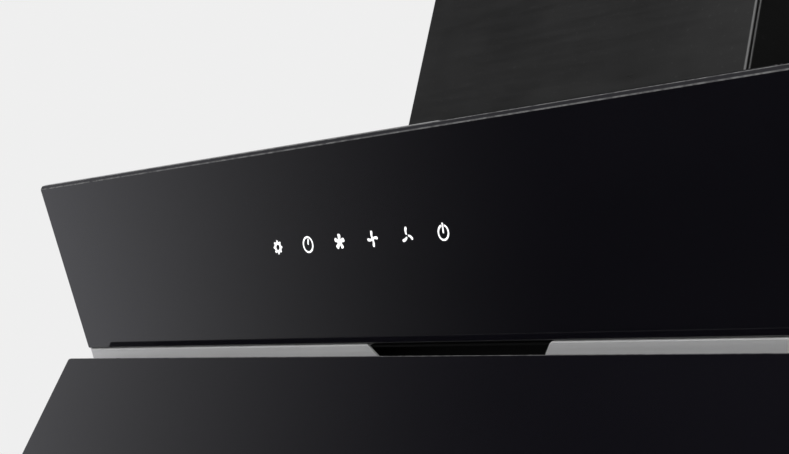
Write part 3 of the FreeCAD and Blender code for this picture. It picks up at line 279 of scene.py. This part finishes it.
def chimneyPaint():
    # dark coat on brushed sheet: hair lines, flecks and slow clouds show through it, and a painted
    # highlight lies pale on the rounded corners, where the surface looks sideways and ahead at once
    look = {"dark": grey(0.004), "pale": grey(0.015), "fleck": grey(0.05), "bendHighlightTone": grey(0.26),
            "hairShare": 0.5, "fleckShare": 0.5, "fleckEdge": (0.60, 1 / 7), "bendHighlightGain": 4,
            "rough": 0.19, "cloudRough": 0.16, "hairRough": 0.08, "hairGrain": (260.0, 3.0),
            "hairStretch": (0.05, 0.05, 1.0), "cloudGrain": (14.0, 5.0, 0.62),
            "fleckGrain": (330.0, 4.0, 0.7), "hairHeight": 0.6, "relief": (0.25, 0.00006)}
    finish = Finish("chimneyPaint")
    hair = finish.noise(look["hairGrain"], look["hairStretch"])
    clouds = finish.noise(look["cloudGrain"])
    flecks = finish.noise(look["fleckGrain"]).ramped(*look["fleckEdge"])
    across, ahead = finish.facing((1, 0, 0)), finish.facing((0, 1, 0))
    # painted highlight: pale base colour on the rounded bends, standing in for the light lines they
    # reflect
    bendHighlight = (look["bendHighlightGain"] * across * across * ahead * ahead).clipped()
    tone = blend(look["hairShare"], hair, clouds).clipped().mixed(look["dark"], look["pale"])
    tone = (look["fleckShare"] * flecks).mixed(tone, look["fleck"])
    return finish.set(color=bendHighlight.mixed(tone, look["bendHighlightTone"]),
                      roughness=(look["rough"] + look["cloudRough"] * clouds
                                 + look["hairRough"] * hair),
                      normal=finish.bump(blend(look["hairHeight"], hair, flecks), look["relief"]))


def zincSheet():
    # spangle: large flat crystals of different brightness, with fine scratches
    look = {"dark": grey(0.42, -0.02), "bright": grey(0.66, -0.01), "metal": 0.6,
            "rough": 0.34, "spangleRough": 0.14, "spangleScale": 95.0, "spangleShare": 0.7,
            "scratchGrain": (700.0, 2.0), "scratchStretch": (0.05, 1.0, 0.4),
            "relief": (0.08, 0.00005)}
    finish = Finish("zincSheet")
    crystals = finish.cells(look["spangleScale"], output="Color")
    spangle = finish.start.make("ShaderNodeSeparateColor", None, {"Color": crystals})
    scratch = finish.noise(look["scratchGrain"], look["scratchStretch"])
    tone = blend(look["spangleShare"], spangle, scratch).clipped()
    return finish.set(color=tone.mixed(look["dark"], look["bright"]), metallic=look["metal"],
                      roughness=look["rough"] + look["spangleRough"] * spangle,
                      normal=finish.bump(scratch, look["relief"]))


def brightSteel():
    look = {"dark": grey(0.55), "bright": grey(0.78), "rough": 0.18, "wearRough": 0.18,
            "wearGrain": (160.0, 4.0), "relief": (0.05, 0.00005)}
    finish = Finish("brightSteel")
    wear = finish.noise(look["wearGrain"])
    return finish.set(color=wear.mixed(look["dark"], look["bright"]), metallic=1.0,
                      roughness=look["rough"] + look["wearRough"] * wear,
                      normal=finish.bump(wear, look["relief"]))


alloys = {
    "filterAlloy": {"dark": grey(0.55), "bright": grey(0.74), "rough": 0.30},
    "lampAlloy": {"dark": grey(0.42), "bright": grey(0.56), "rough": 0.28},
}


def satinAlloy(name):
    # blasted aluminium: a fine grain over clouds
    look = {"fineGrain": (600.0, 3.0), "cloudGrain": (18.0, 3.0), "fineShare": 0.4,
            "fineRough": 0.12, "relief": (0.12, 0.00004), **alloys[name]}
    finish = Finish(name)
    fine = finish.noise(look["fineGrain"])
    cloud = finish.noise(look["cloudGrain"])
    tone = blend(look["fineShare"], fine, cloud).clipped()
    return finish.set(color=tone.mixed(look["dark"], look["bright"]), metallic=1.0,
                      roughness=look["rough"] + look["fineRough"] * fine,
                      normal=finish.bump(fine, look["relief"]))


plastics = {
    "blackPlastic": {"dark": grey(0.007), "pale": grey(0.012), "rough": 0.42},
    # the finger liner is black plastic made darker and duller than the rest: painted shade in the
    # recess behind the notch
    "linerPlasticPaintedShade": {"dark": grey(0.0015), "pale": grey(0.003), "rough": 0.75, "shine": 0.1,
                     "relief": (0.15, 0.00005)},
    "blowerPlastic": {"dark": grey(0.028), "pale": grey(0.040), "rough": 0.40},
    "cupPlastic": {"dark": grey(0.016), "pale": grey(0.024), "rough": 0.30},
    "boxPlastic": {"dark": grey(0.50, 0.03), "pale": grey(0.58, 0.03), "rough": 0.38},
}


def mouldedPlastic(name):
    # moulded surface: eroded spark texture and a slow flow shade
    look = {"sparkScale": 2600.0, "flowGrain": (20.0, 3.0), "flowRough": 0.12, "shine": 0.45,
            "relief": (0.3, 0.00005), **plastics[name]}
    finish = Finish(name)
    spark = finish.cells(look["sparkScale"])
    flow = finish.noise(look["flowGrain"])
    return finish.set(color=flow.mixed(look["dark"], look["pale"]), specular=look["shine"],
                      roughness=look["rough"] + look["flowRough"] * flow,
                      normal=finish.bump(spark, look["relief"]))


def boardResist():
    # solder resist over copper: tracks show as paler bands
    look = {"track": (0.05, 0.24, 0.11, 1), "resist": (0.012, 0.085, 0.035, 1),
            "trackScale": 240.0, "trackStretch": (1.0, 0.2, 1.0), "trackGain": 9.0,
            "rough": 0.28, "coat": 0.4, "coatRough": 0.2, "relief": (0.3, 0.00004)}
    finish = Finish("boardResist")
    tracks = finish.cells(look["trackScale"], look["trackStretch"], "DISTANCE_TO_EDGE")
    line = (tracks * look["trackGain"]).clipped()
    return finish.set(color=line.mixed(look["track"], look["resist"]), roughness=look["rough"],
                      coat=look["coat"], coatRoughness=look["coatRough"],
                      normal=finish.bump(line, look["relief"]))


def lampLens():
    # frosted moulding: a fine grain over faint clouds
    look = {"dark": grey(0.80, 0.02), "bright": grey(0.90, 0.02), "ior": 1.49, "rough": 0.22,
            "grainRough": 0.2, "grainScale": 2400.0, "cloudGrain": (60.0, 2.0),
            "relief": (0.3, 0.00005)}
    finish = Finish("lampLens")
    grain, cloud = finish.cells(look["grainScale"]), finish.noise(look["cloudGrain"])
    return finish.set(color=cloud.mixed(look["dark"], look["bright"]), ior=look["ior"],
                      roughness=look["rough"] + look["grainRough"] * grain,
                      normal=finish.bump(grain, look["relief"]))


def glowingTouchPrint():
    # white printed symbol behind the glass, with a painted glow: it gives light though no lamp is
    # behind it
    look = {"print": grey(0.9), "rough": 0.4, "dim": grey(0.92), "lit": grey(1.0), "glow": 1.0,
            "spreadGrain": (500.0, 2.0)}
    finish = Finish("glowingTouchPrint")
    spread = finish.noise(look["spreadGrain"])
    # painted glow: emission makes the print shine, though nothing lights it from behind
    return finish.set(color=look["print"], roughness=look["rough"],
                      glow=spread.mixed(look["dim"], look["lit"]), glowStrength=look["glow"])


# by material slot, and by node where one node looks different from the rest of its slot
finishes = {
    "black_glass": upperGlass(), "lower_glass": lowerGlass(), "strip_steel": brushedStrip(),
    "black_paint": satinPaint("blackPaint"), "motor_shell": satinPaint("motorPaint"),
    "chimney_paint": chimneyPaint(), "zinc_steel": zincSheet(), "spring_steel": brightSteel(),
    "filter_alloy": satinAlloy("filterAlloy"), "lamp_alloy": satinAlloy("lampAlloy"),
    "black_plastic": mouldedPlastic("blackPlastic"),
    "finger_liner": mouldedPlastic("linerPlasticPaintedShade"),
    "blower_plastic": mouldedPlastic("blowerPlastic"),
    "cup_plastic": mouldedPlastic("cupPlastic"), "box_plastic": mouldedPlastic("boxPlastic"),
    "board_green": boardResist(), "lamp_lens": lampLens(), "touch_print": glowingTouchPrint(),
}
for subpart in frame["record"]["subparts"]:
    nodeName, slotName = subpart["node"], subpart["material_slot"]
    piece = nodes[nodeName]
    if not piece.material_slots:
        piece.data.materials.append(None)
    for materialSlot in piece.material_slots:
        materialSlot.material = finishes[nodeName if nodeName in finishes else slotName]
print("finishes set:", len(finishes))


def meshObject(name, parts, cadSlot, body, finishName=None, smooth=True):
    # joins (points, quads) parts, given in metres, into one closed mesh that rides on a body
    points, faces, start = [], [], 0
    for partPoints, partFaces in parts:
        points.append(partPoints.reshape(-1, 3))
        faces.append(partFaces + start)
        start += len(points[-1])
    points, faces = np.concatenate(points), np.concatenate(faces)
    mesh = bpy.data.meshes.new(name)
    mesh.vertices.add(len(points))
    mesh.vertices.foreach_set("co", points.astype(np.float32).ravel())
    mesh.loops.add(faces.size)
    mesh.loops.foreach_set("vertex_index", faces.astype(np.int32).ravel())
    mesh.polygons.add(len(faces))
    mesh.polygons.foreach_set("loop_start", np.arange(0, faces.size, 4, dtype=np.int32))
    mesh.polygons.foreach_set("loop_total", np.full(len(faces), 4, dtype=np.int32))
    mesh.update(calc_edges=True)
    shell = bmesh.new()
    shell.from_mesh(mesh)
    bmesh.ops.remove_doubles(shell, verts=shell.verts, dist=1e-6)
    bmesh.ops.recalc_face_normals(shell, faces=shell.faces)
    shell.to_mesh(mesh)
    shell.free()
    mesh.polygons.foreach_set("use_smooth", np.full(len(mesh.polygons), smooth))
    piece = bpy.data.objects.new(name, mesh)
    bpy.context.scene.collection.objects.link(piece)
    piece.data.materials.append(finishes[finishName or cadSlot])
    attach(piece, body)
    return piece


def ringFaces(rows, columns, closed):
    # quads between neighbouring rings of points; closed joins the last ring to the first
    row, column = np.meshgrid(np.arange(rows if closed else rows - 1), np.arange(columns),
                              indexing="ij")
    nextRow, nextColumn = (row + 1) % rows, (column + 1) % columns
    return np.stack([row * columns + column, row * columns + nextColumn,
                     nextRow * columns + nextColumn, nextRow * columns + column],
                    axis=-1).reshape(-1, 4)


def skin(points, closed=False):
    # rings of points joined into a shell; open ends run in to the middle of the last ring
    if not closed:
        first, last = (np.broadcast_to(ring.mean(axis=0), ring.shape)[None]
                       for ring in (points[0], points[-1]))
        points = np.concatenate([first, points, last])
    return points, ringFaces(points.shape[0], points.shape[1], closed)


def standing(points, place, outward):
    # points in millimetres about a foot at the origin, stood at a place (metres) along an outward
    # way; the aslant way only fixes how they are turned about it
    aslant = (0.31, 0.52, 0.79)
    outward = np.asarray(outward, float) / np.linalg.norm(outward)
    across = np.cross(outward, aslant)
    across /= np.linalg.norm(across)
    return place + (points[..., :1] * across + points[..., 1:2] * np.cross(outward, across)
                    + points[..., 2:] * outward) * mm


def ribbon(path, halfWidth, thickness, closed=False):
    # flat bar along a path of (x, rise): section (+-halfWidth, 0..thickness), normal turned a
    # quarter from the path's own direction; open ends draw in to a blunt tip
    if closed:
        tangent = np.roll(path, -1, axis=0) - np.roll(path, 1, axis=0)
    else:
        tangent = np.gradient(path, axis=0)
    tangent /= np.linalg.norm(tangent, axis=1, keepdims=True)
    offset = np.stack([-tangent[:, 1], tangent[:, 0]], axis=1) * np.reshape(halfWidth, (-1, 1))
    left, right = path + offset, path - offset
    face, foot = np.full(len(path), -thickness), np.zeros(len(path))
    corners = [np.column_stack([edge[:, 0], level, edge[:, 1]])
               for edge, level in ((left, face), (right, face), (right, foot), (left, foot))]
    return skin(np.stack(corners, axis=1), closed)


def arcPath(radius, start=0.0, end=360.0, count=48):
    # x = radius sin(angle), rise = radius cos(angle), from start to end in degrees
    angle = np.radians(np.linspace(start, end, count, endpoint=abs(end - start) < 360))
    return radius * np.column_stack([np.sin(angle), np.cos(angle)])


symbols = {"count": 6, "centre": -66.0, "pitch": 34.4, "rise": 69.4, "radius": 5.1, "stroke": 0.62,
           "proud": 0.05, "lean": 12.0}
lampSymbol = {"radius": 2.9, "stroke": 0.95, "rays": 8, "rayStart": 3.7, "rayEnd": 4.9,
              "rayStroke": 0.62}
timerSymbol = {"angle": 14, "hand": 3.8, "handStroke": 0.6}
fanSymbols = (
    {"blades": 5, "first": 0, "reach": 5.3, "root": 0.4, "stroke": 1.55, "curl": 4},
    {"blades": 4, "first": -26, "reach": 5.3, "root": 0.2, "stroke": 1.1, "curl": 26},
    {"blades": 3, "first": -34, "reach": 5.7, "root": 0.9, "stroke": 1.05, "curl": 34},
)
powerSymbol = {"radius": 0.9 * symbols["radius"], "gap": 16, "arcSteps": 44, "barStart": -0.4,
               "barEnd": 6.1, "barStroke": 0.62}
blade = {"steps": 18, "rootShare": 0.55, "tipStart": 0.78, "thinnest": 0.05}


def symbolX(index):
    return symbols["centre"] + (index - (symbols["count"] - 1) / 2) * symbols["pitch"]


def symbolAt(index, strokes):
    # strokes are (path, halfWidth, closed) about the symbol's own centre; the print leans, so each
    # path is sheared: x grows with rise
    shift = np.array([symbolX(index), symbols["rise"]])
    shear = np.array([[1, 0], [math.tan(math.radians(symbols["lean"])), 1]])
    parts = []
    for path, halfWidth, closed in strokes:
        points, faces = ribbon(path @ shear + shift, halfWidth, symbols["proud"], closed)
        parts.append((onSlope(points), faces))
    return parts


def bar(angle, start, end, halfWidth):
    # straight stroke: distance from the centre runs from start to end at one angle
    turn = math.radians(angle)
    return np.outer(np.linspace(start, end, 6), (math.sin(turn), math.cos(turn))), halfWidth, False


def bladeStroke(angle, fan):
    # a fan blade: its width grows from the hub and ends in a half circle, and its middle line
    # curls sideways
    along = np.linspace(0.0, 1.0, blade["steps"])
    out = fan["root"] + (fan["reach"] - fan["root"]) * along
    bend = np.radians(angle + fan["curl"] * along)
    path = np.column_stack([out * np.sin(bend), out * np.cos(bend)])
    tip = np.clip((along - blade["tipStart"]) / (1 - blade["tipStart"]), 0, 1)
    width = fan["stroke"] * (blade["rootShare"] + (1 - blade["rootShare"]) * along)
    return path, np.maximum(width * np.sqrt(1 - tip ** 2), blade["thinnest"]), False


def touchSymbols():
    lamp = [(arcPath(lampSymbol["radius"]), lampSymbol["stroke"], True)]
    lamp += [bar(ray * 360 / lampSymbol["rays"], lampSymbol["rayStart"], lampSymbol["rayEnd"],
                 lampSymbol["rayStroke"]) for ray in range(lampSymbol["rays"])]
    timer = [(arcPath(symbols["radius"]), symbols["stroke"], True),
             bar(timerSymbol["angle"], 0.0, timerSymbol["hand"], timerSymbol["handStroke"])]
    fans = [[bladeStroke(fan["first"] + index * 360 / fan["blades"], fan)
             for index in range(fan["blades"])] for fan in fanSymbols]
    arc = arcPath(powerSymbol["radius"], powerSymbol["gap"], 360 - powerSymbol["gap"],
                  powerSymbol["arcSteps"])
    power = [(arc, symbols["stroke"], False),
             bar(0, powerSymbol["barStart"], powerSymbol["barEnd"], powerSymbol["barStroke"])]
    parts = []
    for index, strokes in enumerate((lamp, timer, *fans, power)):
        parts += symbolAt(index, strokes)
    meshObject("touchSymbols", parts, "lamp_lens", "hood", "touch_print", smooth=False)


touchSymbols()
print("touch symbols made")


expanded = {"longWay": 12.0, "shortWay": 6.0, "strand": 0.95, "sheet": 0.6, "layers": 3,
            "inset": 0.2}


def meshLayer(low, high, depth, shift):
    # expanded metal: strand j is a zigzag, rise = j shortWay/2 + (-1)^(i+j) shortWay/4 at its i-th
    # bend
    count = int((high[0] - low[0]) / (expanded["longWay"] / 2)) + 1
    bends = np.arange(count)
    x = np.linspace(low[0], high[0], count)
    corners = (np.array([[-1, 0], [1, 0], [1, 1], [-1, 1]])
               * [expanded["strand"] / 2, expanded["sheet"]])
    margin = expanded["shortWay"] / 4 + expanded["strand"] / 2
    parts = []
    for row, start in enumerate(np.arange(low[2] + margin, high[2] - margin,
                                          expanded["shortWay"] / 2)):
        rise = start + np.where((bends + row + shift) % 2, 1, -1) * expanded["shortWay"] / 4
        ring = np.stack([np.broadcast_to(x[:, None], (count, 4)),
                         np.broadcast_to(depth + corners[:, 1], (count, 4)),
                         rise[:, None] + corners[:, 0]], axis=-1)
        points, faces = skin(ring)
        parts.append((onSlope(points), faces))
    return parts


def filterMesh(side):
    low, high = slopeBox("filter_mesh_" + side)
    depths = np.linspace(low[1] + expanded["inset"],
                         high[1] - expanded["sheet"] - expanded["inset"], expanded["layers"])
    parts = []
    for layer, depth in enumerate(depths):
        parts += meshLayer(low, high, depth, layer % 2)
    piece = meshObject("filterMesh_" + side, parts, "filter_alloy", "hood", smooth=False)
    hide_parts("filter_mesh_" + side)


for sideName in bothSides:
    filterMesh(sideName)
print("filter meshes made")


spring = {"wire": 0.45, "turns": 5.5, "restTurns": 0.8, "sides": 8, "steps": 132}


def touchSprings():
    # helix: angle = 2 pi turns t; depth runs from the glass to the board and stays flat for the
    # rest turns
    low, high = slopeBox("touch_springs")
    row = (symbols["count"] - 1) * symbols["pitch"]
    coil = (high[0] - low[0] - row) / 2 - spring["wire"]
    along = np.linspace(0, 1, spring["steps"])
    flat = spring["restTurns"] / spring["turns"]
    rising = np.clip((along - flat) / (1 - 2 * flat), 0, 1)
    depth = low[1] + spring["wire"] + (high[1] - low[1] - 2 * spring["wire"]) * rising
    angle = 2 * np.pi * spring["turns"] * along
    around = np.linspace(0, 2 * np.pi, spring["sides"], endpoint=False)
    out = coil + spring["wire"] * np.cos(around)
    parts = []
    for index in range(symbols["count"]):
        rings = np.stack([symbolX(index) + out * np.cos(angle)[:, None],
                          depth[:, None] + spring["wire"] * np.sin(around) + 0 * angle[:, None],
                          (low[2] + high[2]) / 2 + out * np.sin(angle)[:, None]], axis=-1)
        points, faces = skin(rings)
        parts.append((onSlope(points), faces))
    piece = meshObject("contactSprings", parts, "spring_steel", "hood")
    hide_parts("touch_springs")


touchSprings()
print("contact springs made")


lens = {"pitch": 2.6, "depth": 0.45, "dimple": 7.0, "first": 0.2, "last": 0.985, "rings": 78,
        "spokes": 72}


def lampOptic(side):
    # pressed lens: z = depth cos^2(pi r / pitch) outside the middle dimple, which is a shallow dome
    low, high = (np.array(bendHighlight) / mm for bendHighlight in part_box("lamp_lens_" + side))
    centre, radius = (low + high) / 2, (high[0] - low[0]) / 2
    out = np.linspace(lens["first"], lens["last"], lens["rings"]) * radius
    turn = np.linspace(0, 2 * np.pi, lens["spokes"], endpoint=False)
    out, turn = np.meshgrid(out, turn, indexing="ij")
    ridge = lens["depth"] * np.cos(np.pi * out / lens["pitch"]) ** 2
    dome = lens["depth"] * (1 - (out / lens["dimple"]) ** 2)
    face = np.where(out > lens["dimple"], ridge, dome)
    height = low[2] + lens["depth"] - face - centre[2]
    under = np.stack([out * np.cos(turn), out * np.sin(turn), height], axis=-1)
    rim = np.stack([under[-1, :, 0], under[-1, :, 1],
                    np.full(lens["spokes"], high[2] - centre[2])], axis=-1)
    points, faces = skin(np.concatenate([under, rim[None]]) + centre)
    piece = meshObject("lampOptic_" + side, [(points * mm, faces)], "lamp_lens", "hood")
    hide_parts("lamp_lens_" + side)


for sideName in bothSides:
    lampOptic(sideName)
print("lamp lenses made")


rib = {"count": 4, "pitch": 2.4, "start": 1.4, "radius": 0.7, "length": 19.0, "sides": 10,
       "steps": 8, "taper": 0.9, "taperPower": 6}


def gripRibs(side):
    # half-sunk round bars across the grip, which is the front of the latch:
    # radius = radius (1 - taper s^taperPower)^0.5, s from -1 to 1 along the bar
    low, high = slopeBox("latch_" + side)
    turn = np.linspace(0, 2 * np.pi, rib["sides"], endpoint=False)
    along = np.linspace(-1, 1, rib["steps"])
    size = rib["radius"] * np.sqrt(1 - rib["taper"] * np.abs(along) ** rib["taperPower"])
    x = (low[0] + high[0]) / 2 + along[:, None] * rib["length"] / 2
    parts = []
    for index in range(rib["count"]):
        rise = low[2] + rib["start"] + index * rib["pitch"]
        rings = np.stack([np.broadcast_to(x, (rib["steps"], rib["sides"])),
                          low[1] + size[:, None] * np.cos(turn),
                          rise + size[:, None] * np.sin(turn)], axis=-1)
        points, faces = skin(rings)
        parts.append((onSlope(points), faces))
    meshObject("gripRibs_" + side, parts, "black_plastic", side + "_latch")


for sideName in bothSides:
    gripRibs(sideName)
print("grip ribs made")


head = {"rings": 11, "spokes": 40, "sunk": 0.15, "crossHalf": 0.22, "crossFlank": 0.05,
        "crossReach": 0.66, "crossEnd": 0.08}
screw = {"radius": 3.4, "height": 1.7, "cross": 0.6}
rivet = {"radius": 2.4, "height": 0.9, "cross": 0.0}
fixingRows = {"edge": 7.0, "backHalf": 300.0, "coverShares": (0.12, 0.5, 0.9),
              "floorShares": (0.15, 0.85), "frameShares": (0.08, 0.36, 0.64, 0.92),
              "frameFoot": 6.0, "frameTop": 9.0}


def headShape(kind):
    # pan head: z = height (1 - (r/R)^4)^0.5, sunk where the cross is, |x| or |y| under about a
    # fifth of R
    radius, height = kind["radius"], kind["height"]
    out = np.sin(np.linspace(0.05, 1, head["rings"]) * np.pi / 2) * radius
    turn = np.linspace(0, 2 * np.pi, head["spokes"], endpoint=False)
    out, turn = np.meshgrid(out, turn, indexing="ij")
    x, y = out * np.cos(turn), out * np.sin(turn)
    near, far = np.minimum(abs(x), abs(y)) / radius, np.maximum(abs(x), abs(y)) / radius
    flank = np.clip((head["crossHalf"] - near) / head["crossFlank"], 0, 1)
    end = np.clip((head["crossReach"] - far) / head["crossEnd"], 0, 1)
    z = height * (np.sqrt(np.clip(1 - (out / radius) ** 4, 0, 1)) - kind["cross"] * flank * end)
    foot = np.stack([x[-1], y[-1], np.full(head["spokes"], -head["sunk"])], axis=-1)[None]
    return np.concatenate([np.stack([x, y, z], axis=-1), foot])


def fasten(name, kind, places, outward, cadSlot):
    shape = headShape(kind)
    parts = [skin(standing(shape, place, outward)) for place in places]
    meshObject(name, parts, cadSlot, "hood")


def fastenCasing():
    edge = fixingRows["edge"] * mm
    low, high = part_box("top_cover")
    backRow = [(side * fixingRows["backHalf"] * mm, high[1] - edge, high[2]) for side in (-1, 1)]
    sideRows = [(side * (high[0] - edge), low[1] + share * (high[1] - low[1]), high[2])
                for side in (-1, 1) for share in fixingRows["coverShares"]]
    fasten("coverScrews", screw, backRow + sideRows, (0, 0, 1), "spring_steel")
    low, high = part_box("bottom_plate")
    rows = [(side * (high[0] - edge), low[1] + share * (high[1] - low[1]), low[2])
            for side in (-1, 1) for share in fixingRows["floorShares"]]
    fasten("floorScrews", screw, rows, (0, 0, -1), "spring_steel")
    for side in bothSides:
        low, high = slopeBox("filter_frame_" + side)
        rises = (low[2] + fixingRows["frameFoot"], high[2] - fixingRows["frameTop"])
        places = [(low[0] + share * (high[0] - low[0]), low[1], rise)
                  for share in fixingRows["frameShares"] for rise in rises]
        fasten("frameRivets_" + side, rivet, onSlope(np.array(places)), slopeFront, "filter_alloy")


fastenCasing()
print("screws and rivets made")


stage = {"floorDrop": 560.0, "floorSize": 60.0, "paper": 0.864, "shade": 0.6}
suns = {"key": {"from": (-0.35, -0.80, 0.48), "level": 0.55, "spread": 50},
        "back": {"from": (0.25, 0.55, 0.80), "level": 0.42, "spread": 60}}
# how bright each part of the room is in gloss, and what it lends to matt surfaces
studio = {"fill": 0.24, "dark": 0.012, "wall": 1.02, "front": 1.45, "ceiling": 0.8, "back": 0.6,
          "right": 0.45, "floor": 0.7, "frontWay": (0.255, -0.917, 0.306), "wallPower": 2.25,
          "wallBase": 0.62, "wallLow": 0.50, "lowMiddle": 0.5, "lowSlope": 1.2,
          "tint": (0.97, 0.975, 1.06, 1)}
# where each part starts along its own direction, and how wide its soft edge is
edges = {"wall": (0.70, 0.22), "front": (0.57, 0.15), "ceiling": (0.76, 0.16),
         "back": (0.25, 0.3), "backSide": (-0.15, 0.3), "backFoot": (-0.2, 0.2),
         "lowBack": (0.68, 0.1), "lowBackTop": (0.05, 0.2), "right": (0.86, 0.1),
         "floor": (0.74, 0.15)}


def rayIs(start, kind):
    return start.make("ShaderNodeLightPath", output="Is %s Ray" % kind)


def makeFloor():
    # pale paper, seen from above only: from below it is clear, so that low views aren't blocked.
    # Its plain glow makes up what the lights leave of the paper's tone, so that it runs into the
    # backdrop
    reach, height = stage["floorSize"] / 2, -stage["floorDrop"] * mm
    mesh = bpy.data.meshes.new("floor")
    mesh.from_pydata([(-reach, -reach, height), (reach, -reach, height), (reach, reach, height),
                      (-reach, reach, height)], [], [(0, 1, 2, 3)])
    floor = bpy.data.objects.new("floor", mesh)
    bpy.context.scene.collection.objects.link(floor)
    material = bpy.data.materials.new("paleFloor")
    material.use_nodes = True
    tree = material.node_tree
    tree.nodes.remove(tree.nodes["Principled BSDF"])
    start = Signal(tree)
    lit = studio["fill"] + sum(sun["from"][2] / np.linalg.norm(sun["from"]) * sun["level"]
                               for sun in suns.values())
    shown = (rayIs(start, "Camera") + rayIs(start, "Glossy")
             + rayIs(start, "Transmission")).clipped()
    glow = start.make("ShaderNodeEmission", None, {
        "Color": grey(1.0), "Strength": shown * float(stage["paper"] - stage["shade"] * lit)})
    paper = start.make("ShaderNodeBsdfDiffuse", None, {"Color": grey(stage["shade"])})
    above = start.make("ShaderNodeAddShader", None, {0: glow, 1: paper})
    clear = start.make("ShaderNodeBsdfTransparent")
    behind = start.make("ShaderNodeNewGeometry", output="Backfacing")
    surface = start.make("ShaderNodeMixShader", None, {0: behind, 1: above, 2: clear})
    feed(tree, tree.nodes["Material Output"].inputs["Surface"], surface)
    floor.data.materials.append(material)
    floor.visible_glossy = False


def makeWorld():
    # camera rays see pale paper. The room that gloss reflects has a bright wall on the left, a soft
    # box in front, a pale ceiling, back and floor, and is dark to the front left and the right
    world = bpy.data.worlds.new("studio")
    bpy.context.scene.world = world
    world.use_nodes = True
    tree = world.node_tree
    start = Signal(tree)
    direction = start.make("ShaderNodeTexCoord", output="Generated")
    across, ahead, up = (start.make("ShaderNodeSeparateXYZ", None, {0: direction}, index)
                         for index in range(3))
    left, down = -1 * across, -1 * up
    low = (studio["lowMiddle"] - studio["lowSlope"] * up).clipped()
    wall = ((left.ramped(*edges["wall"]) ** studio["wallPower"])
            * (studio["wallBase"] + studio["wallLow"] * low))
    front = start.make("ShaderNodeVectorMath", {"operation": "DOT_PRODUCT"},
                       {0: direction, 1: studio["frontWay"]}, "Value")
    room = (studio["dark"] + studio["wall"] * wall
            + studio["front"] * front.ramped(*edges["front"])
            + studio["ceiling"] * up.ramped(*edges["ceiling"])
            + studio["back"] * ahead.ramped(*edges["back"]) * left.ramped(*edges["backSide"])
            * up.ramped(*edges["backFoot"])
            + studio["back"] * ahead.ramped(*edges["lowBack"]) * down.ramped(*edges["lowBackTop"])
            + studio["right"] * across.ramped(*edges["right"])
            + studio["floor"] * down.ramped(*edges["floor"]))
    camera = rayIs(start, "Camera")
    shine = (rayIs(start, "Glossy") + rayIs(start, "Transmission")).clipped()
    level = camera * stage["paper"] + (1 - camera) * (shine * room + (1 - shine) * studio["fill"])
    tint = (shine * wall).clipped().mixed(grey(1.0), studio["tint"])
    background = tree.nodes["Background"]
    feed(tree, background.inputs["Strength"], level)
    feed(tree, background.inputs["Color"], tint)


def sunLight(name, direction, level, spread):
    # a wide soft sun: a white surface square to it renders at its level
    lamp = bpy.data.lights.new(name, "SUN")
    lamp.energy, lamp.angle = level * math.pi, math.radians(spread)
    light = bpy.data.objects.new(name, lamp)
    bpy.context.scene.collection.objects.link(light)
    light.rotation_euler = Vector(direction).to_track_quat("Z", "Y").to_euler()
    light.visible_glossy = False


# place in metres, focal length in pixels of the image's width
view = {"azimuth": 53.12, "elevation": 13.76, "roll": 12.08, "place": (0.8401, -0.9948, -0.2726),
        "focal": 1800.0, "imageWidth": 789.0, "sensor": 36.0}


def makeCamera():
    azimuth, elevation, roll = (math.radians(view[key]) for key in ("azimuth", "elevation", "roll"))
    ahead = Vector((-math.sin(azimuth) * math.cos(elevation),
                    math.cos(azimuth) * math.cos(elevation), math.sin(elevation)))
    level = ahead.cross(Vector((0, 0, 1))).normalized()
    above = level.cross(ahead)
    right = level * math.cos(roll) + above * math.sin(roll)
    top = -level * math.sin(roll) + above * math.cos(roll)
    data = bpy.data.cameras.new("camera")
    data.sensor_width = view["sensor"]
    data.lens = view["focal"] / view["imageWidth"] * view["sensor"]
    camera = bpy.data.objects.new("camera", data)
    bpy.context.scene.collection.objects.link(camera)
    turned = Matrix((right, top, -ahead)).transposed().to_4x4()
    camera.matrix_world = Matrix.Translation(Vector(view["place"])) @ turned
    bpy.context.scene.camera = camera


makeFloor()
makeWorld()
for sunName, sun in suns.items():
    sunLight(sunName, sun["from"], sun["level"], sun["spread"])
makeCamera()
bpy.context.scene.view_settings.view_transform = "Standard"
print("stage, lights and camera set")
